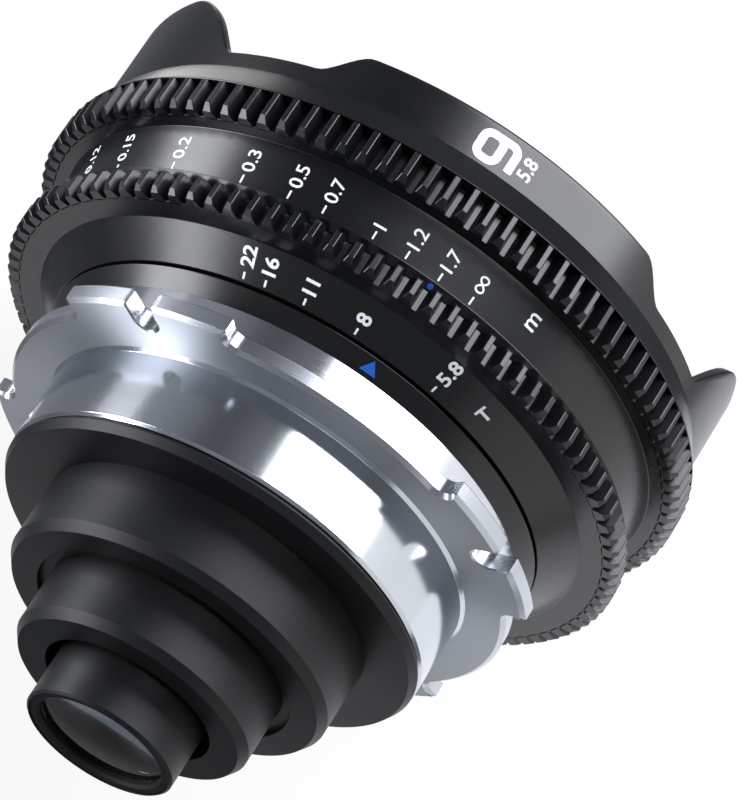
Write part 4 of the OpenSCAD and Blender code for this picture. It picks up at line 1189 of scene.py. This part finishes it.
def cap(r: float, curve: float, steps: int) -> list[Point]:
    """Radii and heights of a spherical cap from its pole to its edge."""
    return [(r * k / steps, sag(curve, r * k / steps)) for k in range(steps + 1)]


@dataclass
class RearTube:
    """Tube that stands out of the last tier, with its retaining ring and the last glass."""

    outer_r: float = 9.4
    rear: float = 35.0
    bevel: float = 0.32
    bore_r: float = 8.65
    rim_bore: float = 8.98
    ring_r: float = 8.95
    ring_open: float = 7.85
    ring_flat: float = 8.15
    ring_low: float = 33.35
    ring_high: float = 34.85
    ring_bevel: float = 0.4
    seat_r: float = 8.0
    step_r: float = 7.8
    step_h: float = 0.85
    glass_r: float = 8.62
    glass_edge: float = 3.8
    glass_gap: float = 0.12
    glass_steps: int = 12
    glass_facets: int = 128
    front_curve: float = 34.0
    rear_curve: float = 40.0

    def glass(self) -> list[Point]:
        """Closed half profile of the last glass, with a raised cap behind.

        Returns:
            Radii and stations from the front pole to the rear pole.
        """
        seat = sag(self.rear_curve, self.seat_r) - sag(self.rear_curve, self.glass_r)
        edge = self.ring_low - self.glass_gap + seat
        pole = edge - self.glass_edge - sag(self.front_curve, self.glass_r)
        top = edge + self.step_h + sag(self.rear_curve, self.step_r)
        front = [(r, pole + h) for r, h in cap(self.glass_r, self.front_curve, self.glass_steps)]
        rear = [(r, top - h) for r, h in cap(self.step_r, self.rear_curve, self.glass_steps)]
        return [*front, (self.glass_r, edge), (self.step_r, edge), *reversed(rear)]

    def build(self) -> None:
        """Builds the tube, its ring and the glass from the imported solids' stations."""
        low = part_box("rear_tube")[0][1] / MM
        tube = [
            (self.bore_r, low),
            (self.outer_r, low),
            (self.outer_r, self.rear - self.bevel, FINE),
            (self.outer_r - self.bevel, self.rear, FINE),
            (self.rim_bore, self.rear, CRISP),
            (self.rim_bore, self.ring_low),
            (self.bore_r, self.ring_low),
        ]
        hand_over(turned("rear_tube_shell", tube, TIER_BLACK), Body.OPTICS, Slot.BLACK, "rear_tube")
        ring = [
            (self.ring_open, self.ring_low),
            (self.ring_r, self.ring_low),
            (self.ring_r, self.ring_high, CRISP),
            (self.ring_flat, self.ring_high, SOFT),
            (self.ring_open, self.ring_high - self.ring_bevel, FINE),
        ]
        hand_over(turned("rear_ring", ring, INNER_BLACK), Body.OPTICS, Slot.INNER, "rear_retaining_ring")
        mesh = turned_mesh("rear_glass", self.glass(), self.glass_facets)
        hand_over(object_of("rear_glass", mesh, SHADE_GREYED_GLASS), Body.OPTICS, Slot.GLASS, "rear_element")


@dataclass
class ScaleGroup:
    """Fixed index ring with its pointer, and a turning ring with its gear and scale.

    Edges are outer corners from the front to the rear. A tick is its start, length and width.
    """

    name: str
    body: Body
    index_bore: float
    index_edge: tuple[Corner, ...]
    ring_bore: float
    ring_edge: tuple[Corner, Corner]
    gear: GearTeeth
    stops: tuple[tuple[str, float], ...]
    tick: Triple
    figures: Lettering
    letter: tuple[str, Lettering, float]

    def sign(self, marks: Marks) -> None:
        """Adds what else the scale shows."""

    def point(self, pointer: Marks) -> None:
        """Draws the pointer on the index ring."""

    def build(self, tooth_row: Tree) -> None:
        """Builds both rings, the teeth and the marks.

        Args:
            tooth_row: tree that repeats a tooth.
        """
        name, gear, edge = self.name, self.gear, self.index_edge
        index = [(self.index_bore, edge[0][1]), *edge, (self.index_bore, edge[-1][1])]
        hand_over(turned(f"{name}_index", index, BARREL_BLACK), Body.FIXED, Slot.BLACK, f"{name}_index_ring")
        front, rear = self.ring_edge
        ring = [
            (self.ring_bore, gear.front_y),
            (gear.root_r, gear.front_y, CRISP),
            (gear.root_r, gear.rear_y, CRISP),
            front,
            rear,
            (self.ring_bore, rear[1]),
        ]
        hand_over(turned(f"{name}_scale", ring, BARREL_BLACK), self.body, Slot.BLACK, f"{name}_ring")
        hand_over(gear.build(f"{name}_teeth", tooth_row, GEAR_BLACK), self.body, Slot.BLACK)
        marks = Marks(cone(rear[:2], front[:2]))
        for text, angle in self.stops:
            marks.tick(self.tick, angle)
            marks.figure(text, self.figures, angle)
        self.sign(marks)
        marks.figure(*self.letter)
        hand_over(marks.build(f"{name}_figures", WHITE_PAINT), self.body, Slot.BLACK)
        pointer = Marks(cone(edge[-1][:2], edge[-2][:2]))
        self.point(pointer)
        hand_over(pointer.build(f"{name}_pointer", BLUE_PAINT), Body.FIXED, Slot.BLACK)


@dataclass
class ApertureGroup(ScaleGroup):
    """Aperture ring with a conical scale; its arrow is a start, a length and half an angle."""

    name: str = "aperture"
    body: Body = Body.APERTURE
    index_bore: float = 29.43
    index_edge: tuple[Corner, ...] = ((32.05, -8.22, 0.1), (30.6, -5.95, 0.06))
    ring_bore: float = 29.45
    ring_edge: tuple[Corner, Corner] = ((35.65, -12.1, 0.15), (32.1, -8.58, 0.12))
    gear: GearTeeth = field(default_factory=lambda: GearTeeth(99, -1.6, -15.0, -12.1, 0.35, 0.6))
    stops: tuple[tuple[str, float], ...] = (("22", 31.3), ("16", 26.5), ("11", 17.8), ("8", 6.3), ("5.8", -12.5))
    tick: Triple = (-8.85, 0.8, 0.26)
    figures: Lettering = Lettering(1.72, 0.0245, -9.85, 1.06)
    letter: tuple[str, Lettering, float] = ("T", Lettering(1.72, 0.0245, -9.9), -23.0)
    arrow: Triple = (-6.48, 1.58, 1.95)

    def point(self, pointer: Marks) -> None:
        """Draws the arrow.

        Args:
            pointer: marks of the index ring.
        """
        start, length, half_angle = self.arrow
        wide = math.radians(half_angle) * pointer.radius_at(start)
        pointer.prism([(0, -wide), (length, 0), (0, wide)], start, 0.0)


@dataclass
class FocusGroup(ScaleGroup):
    """Focus ring with a leaning scale band; its far sign is a length, a height, a width of line and a start."""

    name: str = "focus"
    body: Body = Body.FOCUS
    index_bore: float = 36.03
    index_edge: tuple[Corner, ...] = ((39.4, -16.07, 0.03), (39.4, -15.97, 0.03), (38.6, -15.12, 0.05))
    ring_bore: float = 36.45
    ring_edge: tuple[Corner, Corner] = ((38.8, -22.92, 0.1), (37.56, -16.42, 0.1))
    gear: GearTeeth = field(default_factory=lambda: GearTeeth(104, 2.2, -26.92, -22.92, 0.1, 0.75))
    stops: tuple[tuple[str, float], ...] = (
        ("1.7", -0.7),
        ("1.2", 5.85),
        ("1", 12.25),
        ("0.7", 21.8),
        ("0.5", 28.5),
        ("0.3", 37.8),
        ("0.2", 52.7),
        ("0.15", 67.4),
        ("0.12", 79.0),
    )
    tick: Triple = (-17.25, 1.02, 0.22)
    figures: Lettering = Lettering(1.66, 0.0084, -18.75, 1.04, 0.92)
    letter: tuple[str, Lettering, float] = ("m", Lettering(2.1, 0.0084, -19.6), -17.4)
    far_angle: float = -7.2
    far_sign: tuple[float, float, float, float] = (2.15, 1.2, 0.23, -18.85)
    dot_y: float = -15.5
    dot_r: float = 0.36

    def sign(self, marks: Marks) -> None:
        """Adds the sign for an endless distance and its tick."""
        marks.tick(self.tick, self.far_angle)
        marks.endless(*self.far_sign, self.far_angle)

    def point(self, pointer: Marks) -> None:
        """Draws the dot."""
        pointer.dot(self.dot_y, 0.0, self.dot_r)


def petal_rim_tree() -> Tree:
    """Tree that draws the hood's front edge out into petals by the angle round the axis.

    Returns:
        The tree, with inputs for the petals' heights and angles.
    """
    names = ("Short height", "Tall height", "Short top", "Short foot", "Tall foot", "Tall top", "Skew")
    tree, given = open_tree("petal_rim", "Hood", dict.fromkeys(names, "Float"))
    place = add_node(tree, "GeometryNodeInputPosition").outputs["Position"]
    spot = add_node(tree, "ShaderNodeSeparateXYZ", {"Vector": place}).outputs
    away = reckon(tree, "ABSOLUTE", reckon(tree, "ARCTAN2", spot["X"], spot["Z"]))
    near = reckon(tree, "MINIMUM", away, reckon(tree, "SUBTRACT", math.pi, away))

    def ramp(kind: str, value: Socket, ends: dict[str, str]) -> Socket:
        """Climb of a value between inputs of the tree, straight or smooth."""
        links = {"Value": value, **{end: given[name] for end, name in ends.items()}}
        return add_node(tree, "ShaderNodeMapRange", links, interpolation_type=kind).outputs["Result"]

    short_ends = {"From Min": "Short foot", "From Max": "Short top", "To Max": "Short height"}
    short = ramp("SMOOTHSTEP", near, short_ends)
    climb = ramp("LINEAR", near, {"From Min": "Tall foot", "From Max": "Tall top"})
    tall = ramp("SMOOTHSTEP", reckon(tree, "POWER", climb, given["Skew"]), {"To Max": "Tall height"})
    share = add_node(tree, "GeometryNodeInputNamedAttribute", None, {"Name": "rim_share"}, data_type="FLOAT")
    rise = reckon(tree, "MULTIPLY", reckon(tree, "ADD", short, tall), share.outputs["Attribute"])
    offset = add_node(tree, "ShaderNodeCombineXYZ", {"Y": reckon(tree, "MULTIPLY", rise, -1.0)}).outputs["Vector"]
    drawn = add_node(tree, "GeometryNodeSetPosition", {"Geometry": given["Hood"], "Offset": offset})
    return close_tree(tree, drawn.outputs["Geometry"], given["Finish"])


@dataclass
class PetalHood:
    """Front barrel with a conical shoulder and a rim of two short and two tall petals.

    Petals have heights in millimetres and angles from the index line; the nine is its length, height, width of line,
    start and angle.
    """

    bore: float = 35.63
    shoulder: Point = (42.3, -27.04)
    tube: Point = (40.4, -30.79)
    tube_len: float = 1.2
    rim_y: float = -32.99
    rim_ease: float = 0.3
    wall: float = 1.5
    lip_r: float = 34.15
    lip_rear: float = -29.49
    lip_front: float = -30.29
    funnel_y: float = -32.49
    short_h: float = 3.55
    tall_h: float = 9.4
    short_top: float = 27.5
    short_foot: float = 35.5
    tall_foot: float = 53.0
    tall_top: float = 72.0
    skew: float = 0.65
    rows: int = 8
    bends: int = 3
    facets: int = 384
    nine: tuple[float, float, float, float, float] = (4.3, 5.3, 1.0, -31.2, 2.9)
    stop: tuple[str, Lettering, float] = ("5.8", Lettering(1.7, 0.0175, -32.2), -2.6)

    def profile(self) -> list[Corner]:
        """Closed profile of the hood before its rim is drawn out.

        Returns:
            Radii and stations, and the share of the rim's height that each takes.
        """
        outer, high = self.tube[0], self.tube[1] - self.tube_len
        inner, ease = outer - self.wall, self.rim_ease
        low = self.rim_y + ease
        fixed = eased(
            [
                (self.lip_r, self.lip_front, CRISP),
                (self.lip_r, self.lip_rear),
                (self.bore, self.lip_rear),
                (self.bore, self.shoulder[1]),
                (*self.shoulder, FULL),
                (*self.tube, FINE),
                (outer, high),
            ]
        )
        steps = [k / self.rows for k in range(1, self.rows + 1)]
        turns = [math.pi / 2 * k / self.bends for k in range(self.bends + 1)]
        return [
            *((r, y, 0.0) for r, y in fixed),
            *((outer, high + (low - high) * t, t) for t in steps),
            *((outer - ease + ease * math.cos(a), low - ease * math.sin(a), 1.0) for a in turns[1:]),
            *((inner + ease - ease * math.sin(a), low - ease * math.cos(a), 1.0) for a in turns),
            *((inner, low + (self.funnel_y - low) * t, 1 - t) for t in steps),
        ]

    def shell(self, petal_rim: Tree) -> Object:
        """Hood as one plain mesh.

        Args:
            petal_rim: tree that draws out the petals.

        Returns:
            The hood.
        """
        profile = self.profile()
        if winding(profile) < 0:
            profile.reverse()
        mesh = turned_mesh("hood_shell", [(r, y) for r, y, _ in profile], self.facets)
        rim = mesh.attributes.new("rim_share", "FLOAT", "POINT")
        rim.data.foreach_set("value", [share for *_, share in profile for _ in range(self.facets)])
        hood = object_of("hood_shell", mesh, BARREL_BLACK)
        inputs: dict[str, Any] = {
            "Short height": self.short_h * MM,
            "Tall height": self.tall_h * MM,
            "Short top": math.radians(self.short_top),
            "Short foot": math.radians(self.short_foot),
            "Tall foot": math.radians(self.tall_foot),
            "Tall top": math.radians(self.tall_top),
            "Skew": self.skew,
            "Finish": BARREL_BLACK.make(),
        }
        settle(hood, petal_rim, inputs)
        return hood

    def build(self, petal_rim: Tree) -> None:
        """Builds the hood and its two numbers.

        Args:
            petal_rim: tree that draws out the petals.
        """
        hand_over(self.shell(petal_rim), Body.FIXED, Slot.BLACK, "hood")
        marks = Marks(lambda y: self.tube[0])
        marks.square_nine(*self.nine)
        marks.figure(*self.stop)
        hand_over(marks.build("hood_figures", WHITE_PAINT), Body.FIXED, Slot.BLACK)


@dataclass
class FrontGroup:
    """Front element and the grooved ring that holds it, seen between the petals."""

    glass_r: float = 32.02
    edge_front: float = -26.67
    edge_rear: float = -21.07
    front_curve: float = 55.0
    rear_curve: float = 24.0
    hollow_r: float = 21.0
    glass_steps: int = 24
    ring_width: float = 2.2
    ring_front: float = -29.55
    grooves: int = 5
    fit: float = 0.12

    def glass(self) -> list[Point]:
        """Closed half profile of the bulging front element.

        Returns:
            Radii and stations from the front pole to the rear pole.
        """
        pole = self.edge_front - sag(self.front_curve, self.glass_r)
        floor = self.edge_rear - sag(self.rear_curve, self.hollow_r)
        front = [(r, pole + h) for r, h in cap(self.glass_r, self.front_curve, self.glass_steps)]
        hollow = [(r, floor + h) for r, h in cap(self.hollow_r, self.rear_curve, self.glass_steps)]
        return [*front, (self.glass_r, self.edge_rear), *reversed(hollow)]

    def ring(self) -> list[Corner]:
        """Profile of the retaining ring, stepped like a thread to kill stray light.

        Returns:
            Corners of the closed profile.
        """
        inner = self.glass_r - self.ring_width
        rise = sag(self.front_curve, self.glass_r) - sag(self.front_curve, inner)
        corners: list[Corner] = [
            (inner, self.edge_front - rise - self.fit),
            (self.glass_r, self.edge_front - self.fit),
            (self.glass_r, self.ring_front, CRISP),
        ]
        groove, step = self.ring_width / self.grooves, rise / self.grooves
        for k in range(self.grooves):
            corners.append((self.glass_r - groove * (k + 0.5), self.ring_front - step * k))
            corners.append((self.glass_r - groove * (k + 1), self.ring_front - step * (k + 1)))
        return corners

    def build(self) -> None:
        """Builds the glass and its ring."""
        glass = object_of("front_glass", turned_mesh("front_glass", self.glass()), SHADE_GREYED_GLASS)
        hand_over(glass, Body.OPTICS, Slot.GLASS, "front_element")
        ring = turned("front_ring", self.ring(), INNER_BLACK)
        hand_over(ring, Body.OPTICS, Slot.INNER, "front_retaining_ring")


@dataclass
class InnerWorks:
    """Solids that stay as they are: barrels, cells, lenses, pins and the iris."""

    finishes: dict[Slot, Finish] = field(
        default_factory=lambda: {
            Slot.SHIM: SHIM_BRASS,
            Slot.SCREW: SCREW_STEEL,
            Slot.INNER: INNER_BLACK,
            Slot.BLACK: BARREL_BLACK,
            Slot.CAM: CAM_BRASS,
            Slot.BLADE: BLADE_STEEL,
            Slot.GLASS: SHADE_GREYED_GLASS,
            Slot.MOUNT: FLANGE_STEEL,
            Slot.BASE: BASE_METAL,
        }
    )

    def dress(self, frame: dict[str, Any]) -> None:
        """Gives every solid the finish of its record slot.
        """
        slots = {part["node"]: Slot(part["material_slot"]) for part in frame["record"]["subparts"]}
        for name, solid in frame["nodes"].items():
            solid.data.materials.clear()
            solid.data.materials.append(self.finishes[slots[name]].make())
            log.info("%s: dressed as %s", name, slots[name].value)


@dataclass
class Softbox:
    """Lamp with a soft face, aimed at the lens: its width runs round the axis and its height along it."""

    name: str
    towards: Triple
    distance: float
    width: float
    height: float
    radiance: float
    tint: str = WHITE

    def build(self) -> None:
        """Hangs the lamp at its distance along its direction."""
        lamp = bpy.data.lights.new(self.name, "AREA")
        lamp.shape = "RECTANGLE"
        lamp.size, lamp.size_y = self.width, self.height
        lamp.energy = self.radiance * math.pi * self.width * self.height
        lamp.color = linear(self.tint)[:3]
        holder = link(bpy.data.objects.new(self.name, lamp))
        away = Vector(self.towards).normalized()
        across = Vector((0.0, 1.0, 0.0)).cross(away).normalized()
        turn = Matrix((across, away.cross(across), away)).transposed().to_4x4()
        holder.matrix_world = Matrix.Translation(away * self.distance) @ turn


@dataclass
class Studio:
    """Camera, pale floor, soft lamps and a dim room."""

    eye: Triple = (41.41, 243.81, 525.35)
    right: Triple = (-0.815361, -0.485863, 0.314839)
    up: Triple = (0.573678, -0.751268, 0.326330)
    back: Triple = (0.077977, 0.446692, 0.891283)
    focal_px: float = 5084.0
    frame_px: tuple[int, int] = (739, 800)
    sensor: float = 36.0
    clip: Point = (0.01, 10.0)
    floor_z: float = -42.6
    sheet: tuple[Point, Point] = ((-0.40, -0.095), (0.042, 0.034))
    paper: str = "#f2f3f5"
    paper_seen: float = 0.9
    paper_mirrored: float = 0.5
    room: str = "#70747b"
    room_noise: dict[str, float] = field(default_factory=lambda: {"Scale": 1.9, "Detail": 1.0})
    room_span: Point = (0.3, 0.7)
    room_spread: Point = (0.25, 1.5)
    room_seen: float = 1.0
    room_mirrored: float = 0.05
    lamps: tuple[Softbox, ...] = (
        Softbox("main_softbox", (-0.291, -0.602, 0.744), 0.6, 0.58, 0.30, 9.0, "#f6f8ff"),
        Softbox("top_strip", (-0.15, 0.09, 0.985), 0.6, 0.5, 0.1, 8.0, "#f6f8ff"),
        Softbox("side_softbox", (0.965, 0.21, 0.02), 0.6, 0.27, 0.76, 11.5, "#f6f8ff"),
        Softbox("side_card", (0.88, -0.45, 0.0), 0.6, 0.2, 0.2, 0.3),
        Softbox("fill_card", (-0.88, -0.42, 0.2), 0.6, 0.6, 0.5, 0.95),
        Softbox("rear_card", (-0.86, 0.48, 0.1), 0.6, 0.56, 0.56, 0.8),
        Softbox("low_card", (0.42, -0.78, -0.44), 0.3, 0.14, 0.1, 2.2),
    )

    def camera(self) -> None:
        """Sets up the camera that was fitted to the photograph."""
        lens = bpy.data.cameras.new("camera")
        lens.sensor_fit = "HORIZONTAL"
        lens.sensor_width = self.sensor
        lens.lens = self.focal_px / self.frame_px[0] * self.sensor
        lens.clip_start, lens.clip_end = self.clip
        holder = link(bpy.data.objects.new("camera", lens))
        pose = Matrix((self.right, self.up, self.back)).transposed().to_4x4()
        holder.matrix_world = Matrix.Translation(Vector(self.eye) * MM) @ pose
        bpy.context.scene.camera = holder

    def whiten(self, tree: Tree, plain: Socket, kind: str, seen: float, mirrored: float) -> Socket:
        """Mixes plain white into a background by the kind of ray.

        Args:
            tree: nodes of the background.
            plain: shader that lights the lens.
            kind: Blender's name of the shader that gives the white.
            seen: share of white that the camera sees.
            mirrored: share that metal and glass see.

        Returns:
            The mixed shader.
        """
        white = add_node(tree, kind, None, {"Color": linear(WHITE), "Strength": 1.0})
        path = add_node(tree, "ShaderNodeLightPath").outputs
        either = reckon(tree, "MAXIMUM", path["Is Glossy Ray"], path["Is Transmission Ray"])
        part = reckon(tree, "MULTIPLY_ADD", path["Is Camera Ray"], seen, reckon(tree, "MULTIPLY", either, mirrored))
        return add_node(tree, "ShaderNodeMixShader", {0: part, 1: plain, 2: white.outputs[0]}).outputs["Shader"]

    def white_paper(self) -> bpy.types.Material:
        """Floor paper: white to the camera and in reflections, with the shadow kept.

        Returns:
            The material.
        """
        paper = bpy.data.materials.new("paper_white_seamless")
        paper.use_nodes = True
        tree = paper.node_tree
        tree.nodes.clear()
        matt = add_node(tree, "ShaderNodeBsdfDiffuse", None, {"Color": linear(self.paper)}).outputs["BSDF"]
        mix = self.whiten(tree, matt, "ShaderNodeEmission", self.paper_seen, self.paper_mirrored)
        add_node(tree, "ShaderNodeOutputMaterial", {"Surface": mix})
        return paper

    def floor(self) -> None:
        """Lays a sheet of paper just under the lowest teeth."""
        mesh = bpy.data.meshes.new("floor")
        z = self.floor_z * MM
        (x0, y0), (x1, y1) = self.sheet
        mesh.from_pydata([(x0, y0, z), (x1, y0, z), (x1, y1, z), (x0, y1, z)], [], [(0, 1, 2, 3)])
        mesh.materials.append(self.white_paper())
        link(bpy.data.objects.new("floor", mesh))

    def room_light(self) -> None:
        """Fills the room with dim light from dark drapes and paler walls; the camera sees it white."""
        world = bpy.data.worlds.new("room")
        world.use_nodes = True
        tree = world.node_tree
        tree.nodes.clear()
        side = add_node(tree, "ShaderNodeTexCoord").outputs["Generated"]
        walls = add_node(tree, "ShaderNodeTexNoise", {"Vector": side}, self.room_noise).outputs["Fac"]
        ends = ("From Min", "From Max", "To Min", "To Max")
        span = dict(zip(ends, (*self.room_span, *self.room_spread)))
        level = add_node(tree, "ShaderNodeMapRange", {"Value": walls}, span).outputs["Result"]
        dim = add_node(tree, "ShaderNodeBackground", {"Strength": level}, {"Color": linear(self.room)})
        mix = self.whiten(tree, dim.outputs["Background"], "ShaderNodeBackground", self.room_seen, self.room_mirrored)
        add_node(tree, "ShaderNodeOutputWorld", {"Surface": mix})
        bpy.context.scene.world = world

    def build(self) -> None:
        """Sets up camera, floor, room and lamps."""
        bpy.context.scene.view_settings.view_transform = "Standard"
        self.camera()
        self.floor()
        self.room_light()
        for lamp in self.lamps:
            lamp.build()


def main() -> None:
    """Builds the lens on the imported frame, piece by piece."""
    logging.basicConfig(level=logging.INFO, format="%(message)s")
    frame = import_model()
    InnerWorks().dress(frame)
    tooth_row = tooth_row_tree()
    Mount().build()
    RearTiers().build()
    RearTube().build()
    ApertureGroup().build(tooth_row)
    FocusGroup().build(tooth_row)
    PetalHood().build(petal_rim_tree())
    FrontGroup().build()
    Studio().build()


if __name__ == "__main__":
    main()
